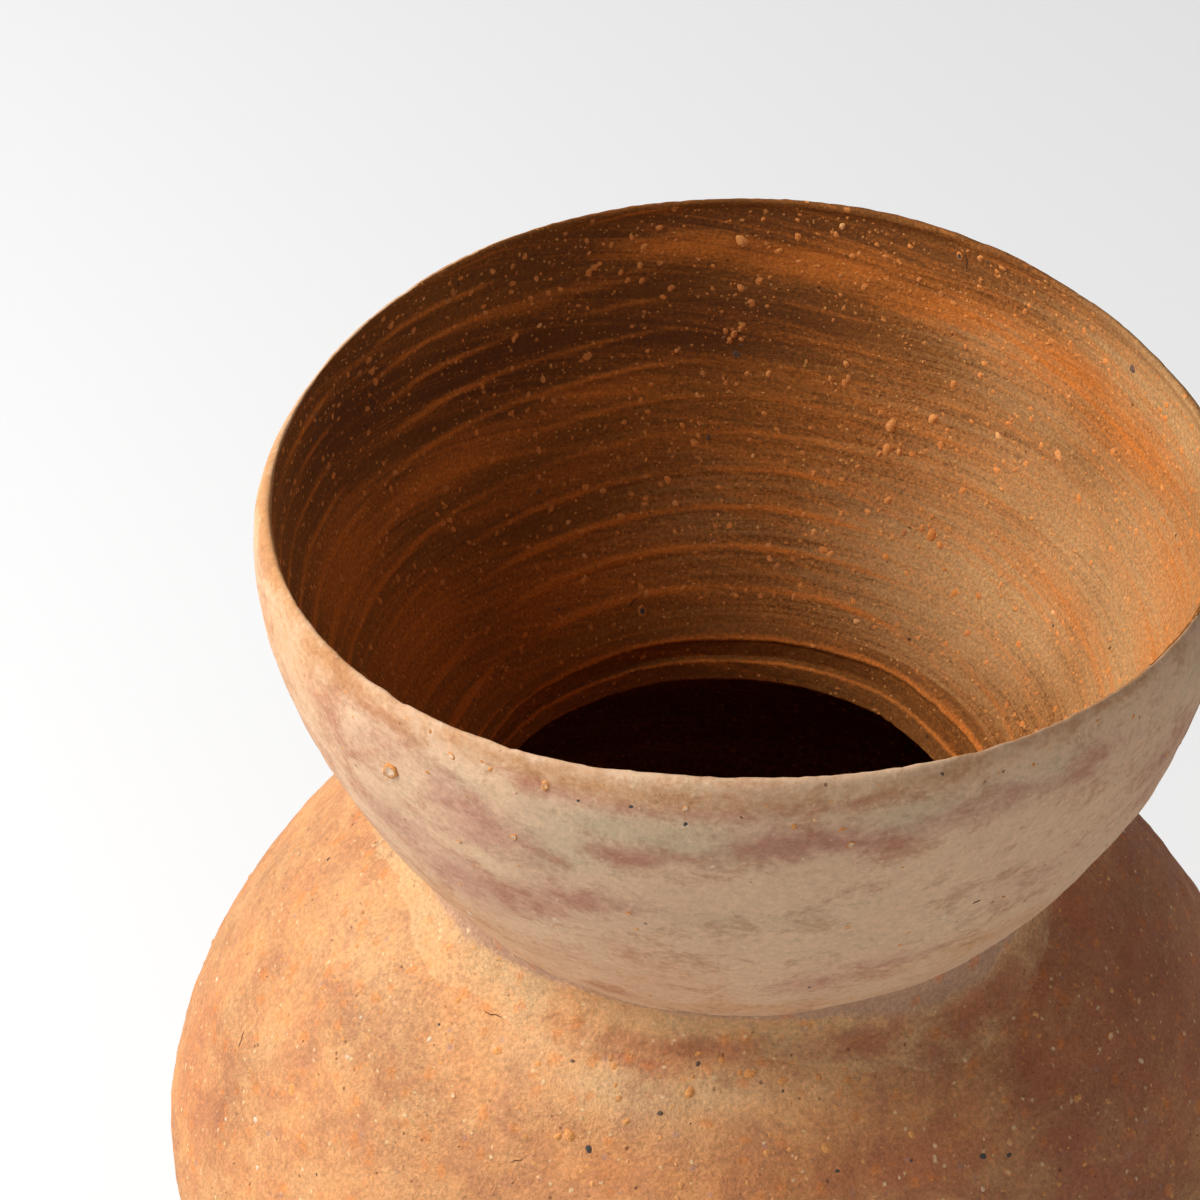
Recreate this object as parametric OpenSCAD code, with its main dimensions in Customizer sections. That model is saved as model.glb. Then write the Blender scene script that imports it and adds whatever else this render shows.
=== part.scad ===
// Vase of unglazed stoneware: a round jar with a narrow throat and a deep, flared mouth bowl.
// It is made up as such a vase is built: sections of clay are set rim to rim, and soft coils are
// pressed over the seams. Every piece is turned about Z. Millimetres, with the foot on Z = 0.

/* [Heights] */
// Thickness of the slab that makes the floor
floor_t = 9; // [7:0.5:12]
// Height of the belly's widest ring above the foot
belly_h = 95.5; // [85:0.5:110]
// Rise of the shoulder, from the belly to the neck crease
shoulder_h = 70; // [64:0.5:80]
// Rise of the mouth bowl, from the neck crease to the top of the lip
bowl_h = 74.5; // [66:0.5:86]

/* [Radii] */
// Radius of the flat face that the vase stands on
foot_r = 55; // [48:0.5:57]
// Radius of the slab at its upper edge, where the wall stands on it
base_r = 62; // [59:0.5:68]
// Radius of the belly
belly_r = 101; // [94:0.5:110]
// Radius of the crease between shoulder and mouth bowl
neck_r = 53; // [49:0.5:57]
// Radius of the mouth, to the middle of the lip
mouth_r = 80; // [74:0.5:88]

/* [Clay] */
// Thickness of the jar's wall
wall_t = 6; // [4.5:0.25:7]
// Thickness of the mouth bowl at its foot
bowl_t = 6.5; // [5:0.25:7.5]
// Thickness of the lip
lip_t = 3; // [2:0.1:4.5]

/* [Curves] */
// Slope of the wall where it leaves the slab, in degrees above level
foot_lean = 52; // [46:1:60]
// How far the wall keeps to that slope
foot_pull = 36; // [24:1:44]
// How far the lower wall stays upright below the belly
belly_pull = 30; // [22:1:38]
// How far the shoulder stays upright above the belly
shoulder_pull = 24; // [16:1:34]
// Slope of the shoulder where it reaches the crease, in degrees below level
neck_lean = 20; // [12:1:28]
// How far the shoulder keeps to that slope
neck_pull = 21; // [14:1:28]
// Flare of the bowl where it leaves the crease, in degrees from upright
bowl_lean = 42; // [34:1:48]
// How far the bowl keeps to that flare
bowl_pull = 38; // [28:1:46]
// How far the lip is turned in, in degrees from upright
lip_lean = 25; // [8:1:32]
// How far the wall below the lip keeps to that slope
lip_pull = 11; // [6:0.5:16]
// How far the slab's edge keeps to the level below and to the slope above
slab_pull = 4; // [2:0.5:5]

/* [Seam coils] */
// Width on the floor of the coil in the base corner
base_coil_w = 8; // [5:0.5:12]
// Width of the coil pressed over the belly seam
belly_coil_w = 16; // [10:1:24]
// Thickness of that coil at its middle
belly_coil_t = 2.5; // [1.5:0.25:4]
// Reach of the neck band down the shoulder
band_drop = 8; // [5:0.5:11]
// Reach of the neck band up the bowl
band_rise = 4; // [2.5:0.5:6]
// How far the band's clay fills the crease
band_fill = 2; // [1.5:0.1:2.6]

/* [Throat] */
// Depth of the collar's seat on the shoulder's edge
collar_seat = 2.5; // [1.5:0.25:3.5]
// Reach of the collar down past the foot of the bowl's inner face
collar_reach = 2.4; // [1.6:0.2:3.4]
// Height of the collar's waist below its ridge
collar_h = 4; // [3:0.25:5]
// How far the coil's ridge stands in from the collar's waist
ridge_w = 1.8; // [1:0.1:2.6]
// How far the throat's edge stands in from the coil's ridge
throat_w = 0.8; // [0.4:0.1:1.4]
// Radius that rounds the ridges
ridge_r = 0.6; // [0.4:0.1:0.8]

/* [Hidden] */

// Facets round the axis
$fn = 180;
// Steps along a long stretch of outline, and along a short one
long_steps = 18;
short_steps = 5;

// Clay colours
body_clay = "#c47a45";
seam_clay = "#8f5a38";
bowl_clay = "#b99a78";

// Corners of the outer outline, as radius and height
neck_h = belly_h + shoulder_h;
total_h = neck_h + bowl_h;
slab_edge = [base_r, floor_t];
belly = [belly_r, belly_h];
crease = [neck_r, neck_h];
lip_mid = [mouth_r, total_h - lip_t / 2];
lip_edge = lip_mid + lip_t / 2 * [cos(lip_lean), sin(lip_lean)];

// Slopes of the outer outline, pointing up the wall
wall_way = [cos(foot_lean), sin(foot_lean)];
neck_way = [-cos(neck_lean), sin(neck_lean)];
bowl_way = [sin(bowl_lean), cos(bowl_lean)];
lip_way = [-sin(lip_lean), cos(lip_lean)];

// Outer outline, upwards: start, the two points that pull the curve, end
slab_line = [[foot_r, 0], [foot_r + slab_pull, 0], slab_edge - slab_pull * wall_way, slab_edge];
wall_line = [slab_edge, slab_edge + foot_pull * wall_way, belly - [0, belly_pull], belly];
shoulder_line = [belly, belly + [0, shoulder_pull], crease - neck_pull * neck_way, crease];
bowl_line = [crease, crease + bowl_pull * bowl_way, lip_edge - lip_pull * lip_way, lip_edge];

// Place on a curve, from t = 0 at its start to t = 1 at its end
function at(line, t) =
    pow(1 - t, 3) * line[0] + 3 * t * pow(1 - t, 2) * line[1]
    + 3 * t * t * (1 - t) * line[2] + pow(t, 3) * line[3];

// Direction of the curve there
function way(line, t) =
    pow(1 - t, 2) * (line[1] - line[0]) + 2 * t * (1 - t) * (line[2] - line[1])
    + t * t * (line[3] - line[2]);

// A direction turned to the hollow side
function inward(v) = [-v[1], v[0]] / norm(v);

// Place at a depth behind the outer face
function behind(line, t, depth) = at(line, t) + depth * inward(way(line, t));

// Even steps from a to b, without b
function steps(a, b, count) = [for (i = [0:count - 1]) a + (b - a) * i / count];

// The same list from its end
function back(list) = [for (i = [len(list) - 1:-1:0]) list[i]];

// Outer face of a wall, and its inner face where the wall goes from depth d0 to depth d1
function outer(line, ts) = [for (t = ts) at(line, t)];
function inner(line, ts, d0, d1) = [for (t = ts) behind(line, t, d0 + (d1 - d0) * t)];

// Round stretch about a centre, from one angle to another
function arc(centre, r, a0, a1) =
    [for (a = concat(steps(a0, a1, short_steps), [a1])) centre + r * [cos(a), sin(a)]];

// Bent stretch from one place to another, pulled towards a third
function bend(from, pull, to) =
    [for (t = concat(steps(0, 1, short_steps), [1]))
        pow(1 - t, 2) * from + 2 * t * (1 - t) * pull + t * t * to];

// A list without its first and last items
function middle(list) = [for (i = [1:len(list) - 2]) list[i]];

// A curve leaves its end at three pulls for each unit of t, so these are where the coils stop on the walls
wall_coil_t = 1 - belly_coil_w / 2 / (3 * belly_pull);
shoulder_coil_t = belly_coil_w / 2 / (3 * shoulder_pull);
shoulder_band_t = 1 - band_drop / (3 * neck_pull);
bowl_band_t = band_rise / (3 * bowl_pull);

// Steps of t along each wall, and along the stretches that the coils cover
wall_coil_ts = steps(wall_coil_t, 1, short_steps);
shoulder_coil_ts = steps(0, shoulder_coil_t, short_steps);
shoulder_band_ts = steps(shoulder_band_t, 1, short_steps);
bowl_band_ts = steps(0, bowl_band_t, short_steps);
wall_ts = concat(steps(0, wall_coil_t, long_steps), wall_coil_ts, [1]);
shoulder_ts = concat(
    shoulder_coil_ts, steps(shoulder_coil_t, shoulder_band_t, long_steps), shoulder_band_ts, [1]);
bowl_ts = concat(bowl_band_ts, steps(bowl_band_t, 1, long_steps));

// Inner corner between floor and wall
floor_corner = slab_edge - [wall_t / sin(foot_lean), 0];

// Corners of the throat: the bowl's inner foot, then the edges of the collar and the coil, downwards
bowl_foot = behind(bowl_line, 0, bowl_t);
collar_ridge = bowl_foot - collar_reach * bowl_way;
collar_waist = collar_ridge - [0, collar_h];
coil_ridge = collar_waist - [ridge_w, 0];
shoulder_foot = behind(shoulder_line, 1, wall_t);
throat_edge = [coil_ridge[0] - throat_w, shoulder_foot[1]];
seat_split = behind(shoulder_line, 1, collar_seat);

// Solid of revolution in one clay
module turned(points, clay) {
    color(clay) rotate_extrude() polygon(points);
}

// Floor slab: flat foot, rounded lower edge
module base_slab() {
    edge = outer(slab_line, concat(steps(0, 1, short_steps), [1]));
    turned(concat([[0, 0]], edge, [[0, floor_t]]), body_clay);
}

// Coil in the corner between floor and wall
module base_coil() {
    wall_end = behind(wall_line, 0, wall_t);
    floor_end = floor_corner - [base_coil_w, 0];
    turned(concat([floor_corner], bend(wall_end, floor_corner, floor_end)), seam_clay);
}

// Lower half of the jar, standing flat on the slab
module lower_wall() {
    turned(
        concat(outer(wall_line, wall_ts), back(inner(wall_line, wall_ts, wall_t, wall_t)), [floor_corner]),
        body_clay);
}

// Flat coil over the belly seam, thickest at the seam
module belly_coil() {
    above = concat(shoulder_coil_ts, [shoulder_coil_t]);
    seat = concat(
        inner(wall_line, wall_coil_ts, wall_t, wall_t), inner(shoulder_line, above, wall_t, wall_t));
    pull = [belly_r - wall_t - 2 * belly_coil_t, belly_h];
    turned(concat(seat, middle(bend(seat[len(seat) - 1], pull, seat[0]))), seam_clay);
}

// Upper half of the jar, cut square to its slope at the throat
module shoulder_wall() {
    turned(
        concat(outer(shoulder_line, shoulder_ts), back(inner(shoulder_line, shoulder_ts, wall_t, wall_t))),
        body_clay);
}

// Coil smeared into the outer crease
module neck_band() {
    seat = concat(
        outer(shoulder_line, shoulder_band_ts), outer(bowl_line, concat(bowl_band_ts, [bowl_band_t])));
    halfway = bowl_way - neck_way;
    pull = crease + band_fill * halfway / norm(halfway);
    turned(concat(seat, middle(bend(seat[len(seat) - 1], pull, seat[0]))), seam_clay);
}

// Coil inside the shoulder's edge: its ridge above and the throat's edge below
module throat_coil() {
    turned(
        concat(
            [seat_split, collar_waist],
            arc(coil_ridge + ridge_r * [1, -1], ridge_r, 90, 180),
            arc(throat_edge + ridge_r * [1, 1], ridge_r, 180, 270),
            [shoulder_foot]),
        seam_clay);
}

// Ring that carries the bowl on the shoulder, with a rounded ridge under the bowl's inner face
module throat_collar() {
    turned(
        concat(
            [crease, bowl_foot],
            arc(collar_ridge + ridge_r * inward(-bowl_way), ridge_r, 180 - bowl_lean, 270 - bowl_lean),
            [collar_waist, seat_split]),
        seam_clay);
}

// Flared mouth bowl, thinning to a rounded lip that turns in
module mouth_bowl() {
    turned(
        concat(
            outer(bowl_line, bowl_ts),
            arc(lip_mid, lip_t / 2, lip_lean, 180 + lip_lean),
            back(inner(bowl_line, bowl_ts, bowl_t, lip_t))),
        bowl_clay);
}

base_slab();
base_coil();
lower_wall();
belly_coil();
shoulder_wall();
neck_band();
throat_coil();
throat_collar();
mouth_bowl();
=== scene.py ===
"""Unglazed stoneware vase: hand-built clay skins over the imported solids, with a plain studio round them."""
import math

import bpy
import numpy as np
from bpy.props import FloatProperty, FloatVectorProperty, PointerProperty
from mathutils import Matrix, Vector


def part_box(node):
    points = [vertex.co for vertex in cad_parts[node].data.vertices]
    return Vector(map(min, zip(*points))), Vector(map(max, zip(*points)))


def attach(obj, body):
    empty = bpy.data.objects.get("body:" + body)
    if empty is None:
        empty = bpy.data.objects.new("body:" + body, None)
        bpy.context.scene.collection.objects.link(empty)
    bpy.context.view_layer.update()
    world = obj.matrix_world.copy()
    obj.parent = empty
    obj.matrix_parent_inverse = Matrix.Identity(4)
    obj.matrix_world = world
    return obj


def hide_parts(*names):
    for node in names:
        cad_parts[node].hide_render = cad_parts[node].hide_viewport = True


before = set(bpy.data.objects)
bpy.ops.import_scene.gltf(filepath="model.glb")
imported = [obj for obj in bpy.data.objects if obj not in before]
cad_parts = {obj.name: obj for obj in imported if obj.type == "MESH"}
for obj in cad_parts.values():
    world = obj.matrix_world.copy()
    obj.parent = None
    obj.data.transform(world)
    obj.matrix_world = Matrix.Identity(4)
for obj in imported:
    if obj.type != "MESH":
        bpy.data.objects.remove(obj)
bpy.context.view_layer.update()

bl_info = {
    "name": "Stoneware Vase",
    "version": (1, 0, 0),
    "blender": (4, 5, 0),
    "location": "View3D > Sidebar > Vase",
    "description": "Dresses a hand-built, unglazed stoneware vase on its measured solids",
    "category": "Object",
}

MM = 0.001
TURN = 2 * math.pi


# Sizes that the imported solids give, in millimetres

def reach(node):
    """Radius, lowest height and highest height of a turned solid."""
    low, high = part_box(node)
    return high.x / MM, low.z / MM, high.z / MM


BASE_R, _, FLOOR_H = reach("base_slab")
BELLY_R, _, BELLY_H = reach("lower_wall")
NECK_R = reach("throat_collar")[0]
NECK_H = reach("shoulder_wall")[2]
TOTAL_H = reach("mouth_bowl")[2]

# Slopes of the outline in degrees, and how far each one holds in millimetres
FOOT_LEAN, FOOT_PULL, SLAB_PULL = 52, 36, 4
BELLY_PULL, SHOULDER_PULL = 30, 24
NECK_LEAN, NECK_PULL = 20, 21
BOWL_LEAN, BOWL_PULL = 42, 38
LIP_LEAN, LIP_PULL = 25, 11


def linear(hex_colour):
    """Linear red, green and blue of an sRGB hex colour."""
    channels = [int(hex_colour[i:i + 2], 16) / 255 for i in (1, 3, 5)]
    return [c / 12.92 if c <= 0.04045 else ((c + 0.055) / 1.055) ** 2.4 for c in channels]


def length(name, about, millimetres):
    """A length that the user can change."""
    return FloatProperty(
        name=name, description=about, default=millimetres * MM, subtype="DISTANCE", unit="LENGTH")


def angle(name, about, degrees):
    """An angle that the user can change."""
    return FloatProperty(
        name=name, description=about, default=math.radians(degrees), subtype="ANGLE", unit="ROTATION")


def colour(name, about, hex_colour):
    """A colour that the user can change."""
    return FloatVectorProperty(
        name=name, description=about, default=linear(hex_colour), subtype="COLOR", size=3, min=0, max=1)


def power(name, about, watts):
    """A lamp's power that the user can change."""
    return FloatProperty(name=name, description=about, default=watts, min=0, unit="POWER")


class VaseShape(bpy.types.PropertyGroup):
    """Sizes of the turned outline and of its clay."""

    foot_r: length("Foot", "Radius of the flat face that the vase stands on", 55)
    base_r: length("Base", "Radius of the floor slab at its upper edge", BASE_R)
    belly_r: length("Belly", "Radius of the belly", BELLY_R)
    neck_r: length("Neck", "Radius of the crease between shoulder and bowl", NECK_R)
    mouth_r: length("Mouth", "Radius of the mouth at the middle of the lip", 80)
    wall_t: length("Wall", "Thickness of the jar's wall", 6)
    bowl_t: length("Bowl wall", "Thickness of the bowl at its foot", 6.5)
    lip_t: length("Lip", "Thickness of the lip", 3)
    collar_reach: length("Collar", "Reach of the collar past the foot of the bowl's inner face", 2.4)
    collar_h: length("Collar waist", "Height of the collar's waist below its ridge", 4)
    collar_seat: length("Collar seat", "Depth of the collar on the shoulder's edge", 2.5)
    ridge_w: length("Coil ridge", "How far the throat coil's ridge stands in from the collar's waist", 1.8)
    throat_w: length("Throat edge", "How far the throat's edge stands in from the coil's ridge", 0.8)
    band_drop: length("Band drop", "Width of the smeared band on the shoulder", 8)
    band_rise: length("Band rise", "Width of the smeared band on the bowl", 7)
    band_fill: length("Band fill", "How far the smeared band fills the crease", 3)
    base_coil_w: length("Base coil", "Width of the coil between floor and wall", 8)
    belly_coil_w: length("Belly coil", "Width of the coil over the belly seam", 16)
    belly_coil_t: length("Belly coil thickness", "Thickness of the coil over the belly seam", 2.5)
    rim_sag: length("Rim sag", "How far the rim dips at its left and right", 2.5)
    mouth_shift: length("Mouth shift", "How far the bowl stands to the right of the jar", 3.5)


class VaseClay(bpy.types.PropertyGroup):
    """Colours of the fired clay."""

    bowl_beige: colour("Bowl beige", "Outside of the bowl", "#dbb391")
    bowl_sand: colour("Bowl sand", "Lighter clouds on the outside of the bowl", "#e2bc97")
    bowl_mauve: colour("Bowl mauve", "Streaked flame marks on the bowl", "#b57a67")
    bowl_grey: colour("Bowl grey", "Pale ash-grey patches on the bowl", "#c6b08f")
    bowl_peach: colour("Bowl peach", "Flame side of the bowl", "#d39a66")
    inside_brown: colour("Inside brown", "Bare clay inside the bowl", "#a86727")
    inside_dark: colour("Inside dark", "Shaded side and dark throwing lines inside the bowl", "#592c08")
    inside_orange: colour("Inside orange", "Orange slip on the throwing lines inside the bowl", "#cd742a")
    inside_tan: colour("Inside tan", "Ash-dusted side inside the bowl", "#ca9a64")
    jar_orange: colour("Jar orange", "Shoulder of the jar", "#df9e66")
    jar_tan: colour("Jar tan", "Pale band under the neck", "#e7bb88")
    jar_rust: colour("Jar rust", "Rust-red marks on the shoulder", "#b36a47")
    jar_flame: colour("Jar flame", "Orange-red flush low on the shoulder", "#d88a50")
    jar_umber: colour("Jar umber", "Dark side of the jar", "#9e5f49")
    stone_white: colour("White stone", "Feldspar grit", "#f0d2b4")
    stone_slate: colour("Dark stone", "Slate grit", "#4c4643")
    crack_shade: colour("Crack", "Depth of the open cracks", "#57331f")


class VaseStudio(bpy.types.PropertyGroup):
    """Camera and light."""

    camera_side: length("Camera side", "How far the camera stands to the right of the vase's axis", 3.5)
    camera_back: length("Camera back", "How far the camera stands in front of the vase's axis", 667.9)
    camera_up: length("Camera up", "Height of the camera above the foot", 747.2)
    camera_tilt: angle("Tilt", "How far the camera looks down", 38.611)
    camera_pan: angle("Pan", "How far the camera looks to the left", 2.119)
    camera_roll: angle("Roll", "How far the camera leans", 0.458)
    lens: FloatProperty(name="Lens", description="Focal length", default=150, min=1, unit="CAMERA")
    key_power: power("Soft box", "Power of the soft box at the left", 24.5)
    front_power: power("Front card", "Power of the card in front", 3.5)
    right_power: power("Right card", "Power of the card at the right", 2)
    fill: FloatProperty(name="Fill", description="Brightness of the room", default=0.03, min=0)


# Outline of the vase, in millimetres of radius and height

def point(r, z):
    """Place in the outline's plane, or a step from one place to another."""
    return np.array([r, z], float)


def heading(degrees):
    """Unit step in the outline's plane, turned up from level."""
    a = math.radians(degrees)
    return point(math.cos(a), math.sin(a))


def at(line, t):
    """Place on a curve of four points: start, two pulls and end, blended by the cubic weights of t."""
    t = np.asarray(t, float)[..., None]
    return ((1 - t) ** 3 * line[0] + 3 * t * (1 - t) ** 2 * line[1]
            + 3 * t * t * (1 - t) * line[2] + t ** 3 * line[3])


def curve(a, b, c, t):
    """Place on the way from a to c that is pulled towards b: the three blended by the square weights of t."""
    return (1 - t) ** 2 * a + 2 * t * (1 - t) * b + t * t * c


def inward(line, t):
    """Unit step from the curve to the hollow side: its direction turned a quarter left."""
    t = np.asarray(t, float)[..., None]
    way = curve(line[1] - line[0], line[2] - line[1], line[3] - line[2], t)
    return np.stack([-way[..., 1], way[..., 0]], -1) / np.linalg.norm(way, axis=-1, keepdims=True)


def outlines(shape):
    """The outer outline from foot to lip: slab edge, lower wall, shoulder and bowl, and the lip's middle."""
    slab_edge = point(shape.base_r / MM, FLOOR_H)
    belly = point(shape.belly_r / MM, BELLY_H)
    crease = point(shape.neck_r / MM, NECK_H)
    half_lip = shape.lip_t / MM / 2
    lip_mid = point(shape.mouth_r / MM, TOTAL_H - half_lip)
    lip_edge = lip_mid + half_lip * heading(LIP_LEAN)
    foot = point(shape.foot_r / MM, 0)
    return {
        "slab": (foot, foot + point(SLAB_PULL, 0), slab_edge - SLAB_PULL * heading(FOOT_LEAN), slab_edge),
        "lower": (slab_edge, slab_edge + FOOT_PULL * heading(FOOT_LEAN), belly - point(0, BELLY_PULL), belly),
        "shoulder": (belly, belly + point(0, SHOULDER_PULL),
                     crease + NECK_PULL * heading(-NECK_LEAN), crease),
        "bowl": (crease, crease + BOWL_PULL * heading(90 - BOWL_LEAN),
                 lip_edge + LIP_PULL * heading(LIP_LEAN - 90), lip_edge),
        "lip_mid": lip_mid,
    }


def floor_corner(shape):
    """Corner between the floor and the wall's inner face."""
    return point(shape.base_r / MM - shape.wall_t / MM / math.sin(math.radians(FOOT_LEAN)), FLOOR_H)


# Unevenness that the hand leaves

def smooth(x):
    """Eases from 0 to 1 between x = 0 and x = 1."""
    x = np.clip(x, 0, 1)
    return x * x * (3 - 2 * x)


def ripple(places, wavelength, seed, waves=20):
    """Smooth unevenness with a spread of about 1: a sum of plane sine waves of one wavelength in many
    directions."""
    draw = np.random.default_rng(seed)
    ways = draw.normal(size=(3, waves))
    ways *= TURN / wavelength / np.linalg.norm(ways, axis=0)
    return np.sin(places @ ways + draw.uniform(0, TURN, waves)).sum(-1) * math.sqrt(2 / waves)


def ripples(places, *rows):
    """Sum of unevenness: each row is a spread in millimetres, a wavelength and a seed."""
    return sum(spread * ripple(places, wavelength, seed) for spread, wavelength, seed in rows)


def crest(u, width):
    """Narrow ridge at every whole number of u: a bell of the distance to the nearest one."""
    return np.exp(-((u - np.round(u)) / width) ** 2)


def bell(phi, place, half):
    """Bell in azimuth about a place: both the place and the half width are in degrees."""
    return np.exp(-(((np.degrees(phi) - place + 180) % 360 - 180) / half) ** 2)


# Part of the lip's thickness that its inner face runs out by, and where on the curve that starts
LIP_THIN, LIP_THIN_FROM = 0.5, 0.8
# How much of the grainy relief an outer face has
BOWL_COARSE, JAR_COARSE = 0.35, 1.0
# Finger rings inside the bowl: height of the first one, spacing, and the azimuth that the spiral starts at
RING_START, RING_SPACING, RING_FROM = 174.5, 5.8, math.radians(100)
# Width of a ring as a part of the spacing: of its relief, and of the slip on its crest, with how far that
# changes round the bowl
RING_WIDTH, SLIP_WIDTH, SLIP_WIDTH_CHANGE = 0.1, 0.08, 0.03


def outside_marks(places, phi, coarse):
    """Depth of the hand's marks on an outer face, in millimetres: broad lumps, finer ones scaled by coarse,
    faint turning rings, and thumb strokes that fade in towards the crease."""
    z = places[..., 2]
    lumps = ripples(places, (0.26, 60, 1), (0.1, 22, 2))
    grain = coarse * ripples(places, (0.06, 9, 3), (0.04, 4.5, 4))
    rings = 0.05 * np.sin(TURN * z / 6.1 - phi + 1.2 * ripple(places, 80, 5))
    strokes = 0.12 * coarse * np.exp(-((z - NECK_H) / 9) ** 2) * ripple(places, 7, 13)
    return lumps + grain + rings + strokes


def finger_rings(places, phi, width):
    """Crest of the finger rings inside the bowl, from 0 to 1: a bell at each turn of a spiral that climbs
    one spacing a turn, strongest near the throat and at the back left, fainter upwards. Its width is a part
    of the spacing."""
    z = places[..., 2]
    climb = (z - RING_START + 0.5 * ripple(places, 55, 6)) / RING_SPACING - (phi - RING_FROM) / TURN
    fade = 1 - 0.6 * smooth((z - 176) / 55)
    side = 0.55 + 0.45 * np.cos(phi - math.radians(160))
    return fade * side * np.clip(0.75 + 0.45 * ripple(places, 32, 7), 0.05, 1.2) * crest(climb, width)


def inside_marks(places, phi):
    """Depth of the throwing marks inside the bowl: finger rings, fine level lines and lumps of three
    sizes."""
    z = places[..., 2]
    lines = 0.035 * np.sin(TURN * z / 2.3 - 3 * phi + 1.5 * ripple(places, 50, 8))
    lines = lines * (0.6 + 0.5 * ripple(places, 30, 9))
    lumps = ripples(places, (0.18, 50, 10), (0.06, 14, 11), (0.03, 6, 12))
    return 0.32 * finger_rings(places, phi, RING_WIDTH) + lines + lumps


def sag(shape, phi):
    """Height that the rim gains at an azimuth: a saddle wave, low at the left and right and high at front
    and back."""
    return -shape.rim_sag / MM * np.cos(2 * phi) - 0.5 * np.sin(2 * phi)


def up_bowl(z):
    """Part of the way from the crease, 0, to the rim, 1."""
    return np.clip((z - NECK_H) / (TOTAL_H - NECK_H), 0, 1.1)


def lean(shape, z):
    """How far the bowl stands to the right at a height: its shift, eased in over the throat."""
    return shape.mouth_shift / MM * smooth((z - NECK_H + 8) / 20)


def set_over(shape, places):
    """The bowl's lean and sag: x moves by the lean, and z by the sag that grows from the crease to the
    rim."""
    x, y, z = np.moveaxis(places, -1, 0)
    phi = np.arctan2(y, x)
    return np.stack([x + lean(shape, z), y, z + sag(shape, phi) * up_bowl(z)], -1)


def spin(flat, phi):
    """Places or steps of the outline's plane turned to the azimuth phi: (r cos phi, r sin phi, z)."""
    r, z = flat[..., 0], flat[..., 1]
    return np.stack([r * np.cos(phi), r * np.sin(phi), z + 0 * phi], -1)


def section(shape, name, t):
    """Outline of a face over curve position t, set back by the wall for an inner face, and its step out of
    the clay."""
    line = outlines(shape)[name.split("_")[0]]
    step = inward(line, t)
    flat = at(line, t)
    if name == "bowl_in":
        run_out = LIP_THIN * shape.lip_t * smooth((t - LIP_THIN_FROM) / (1 - LIP_THIN_FROM))
        thick = (shape.bowl_t + (shape.lip_t - shape.bowl_t) * t - run_out) / MM
        return flat + thick[..., None] * step, step
    if name.endswith("in"):
        return flat + shape.wall_t / MM * step, step
    return flat, -step


def face(shape, name, t, phi):
    """A clay face over curve position t and azimuth phi: its section turned about the axis, pushed along its
    own outward step by the hand's marks, which fade at the seams, and then set over with the bowl."""
    flat, step = section(shape, name, t)
    ends = {"bowl_in": smooth(t / 0.03), "bowl": smooth(t / 0.04), "shoulder": smooth((1 - t) / 0.04),
            "lower": smooth(t / 0.1)}.get(name, 0 * t)
    places, steps = spin(flat, phi), spin(step, phi)
    if name == "bowl_in":
        marks = inside_marks(places, phi)
    else:
        marks = outside_marks(places, phi, BOWL_COARSE if name == "bowl" else JAR_COARSE)
    return set_over(shape, places + (ends * marks)[..., None] * steps), steps


def settle(shape, name, azimuth, height):
    """Curve position and azimuth of a spot on a face, from degrees and its height on the finished vase: the
    sag is taken off and the height is looked up along the section."""
    phi = np.radians(azimuth)
    t = np.linspace(0, 1, 200)
    return np.interp(height - sag(shape, phi) * up_bowl(height), section(shape, name, t)[0][:, 1], t), phi


def patches(shape, places, spots):
    """Soft patches: each spot (azimuth, height, half width in degrees, half height, strength) is a bell in
    azimuth and height, and the strongest bell wins."""
    x, y, z = np.moveaxis(places, -1, 0)
    phi = np.arctan2(y, x - lean(shape, z))
    weight = np.zeros(z.shape)
    for azimuth, height, wide, tall, strength in spots:
        near = bell(phi, azimuth, wide) * np.exp(-((z - height) / tall) ** 2)
        weight = np.maximum(weight, strength * near)
    return weight


# Meshes

def quads_of(rows, steps, closed=False):
    """Corner numbers of the quads between the rows of a grid that closes round its steps, and between the
    last row and the first one if the rows close too."""
    row, step = np.meshgrid(np.arange(rows if closed else rows - 1), np.arange(steps), indexing="ij")
    up, on = (row + 1) % rows, (step + 1) % steps
    quads = [row * steps + step, row * steps + on, up * steps + on, up * steps + step]
    return np.stack(quads, -1).reshape(-1, 4)


FLIPPED = [0, 3, 2, 1]  # order of a quad's corners that turns its face over


def skin(name, places, closed=True):
    """Mesh over a grid of places [rows, steps, 3] that closes round the axis. Closed rows join the last row
    to the first; open rows get a fan to the middle of the first and of the last. Rows run up the outside, so
    faces point outwards."""
    rows, steps = places.shape[:2]
    corners = quads_of(rows, steps, closed)
    points = places.reshape(-1, 3)
    sides = [corners.ravel()]
    counts = [np.full(len(corners), 4)]
    if not closed:
        points = np.concatenate([points, [places[0].mean(0), places[-1].mean(0)]])
        ring, after = np.arange(steps), (np.arange(steps) + 1) % steps
        low, high = np.full(steps, rows * steps), np.full(steps, rows * steps + 1)
        top = (rows - 1) * steps
        sides += [np.stack([low, after, ring], -1).ravel(),
                  np.stack([high, top + ring, top + after], -1).ravel()]
        counts.append(np.full(2 * steps, 3))
    return put_mesh(name, points, np.concatenate(sides), np.concatenate(counts))


HAND_SHARP, STONE_SHARP = 55, 150  # degrees from which an edge is sharp, on the clay and on its stones


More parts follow.
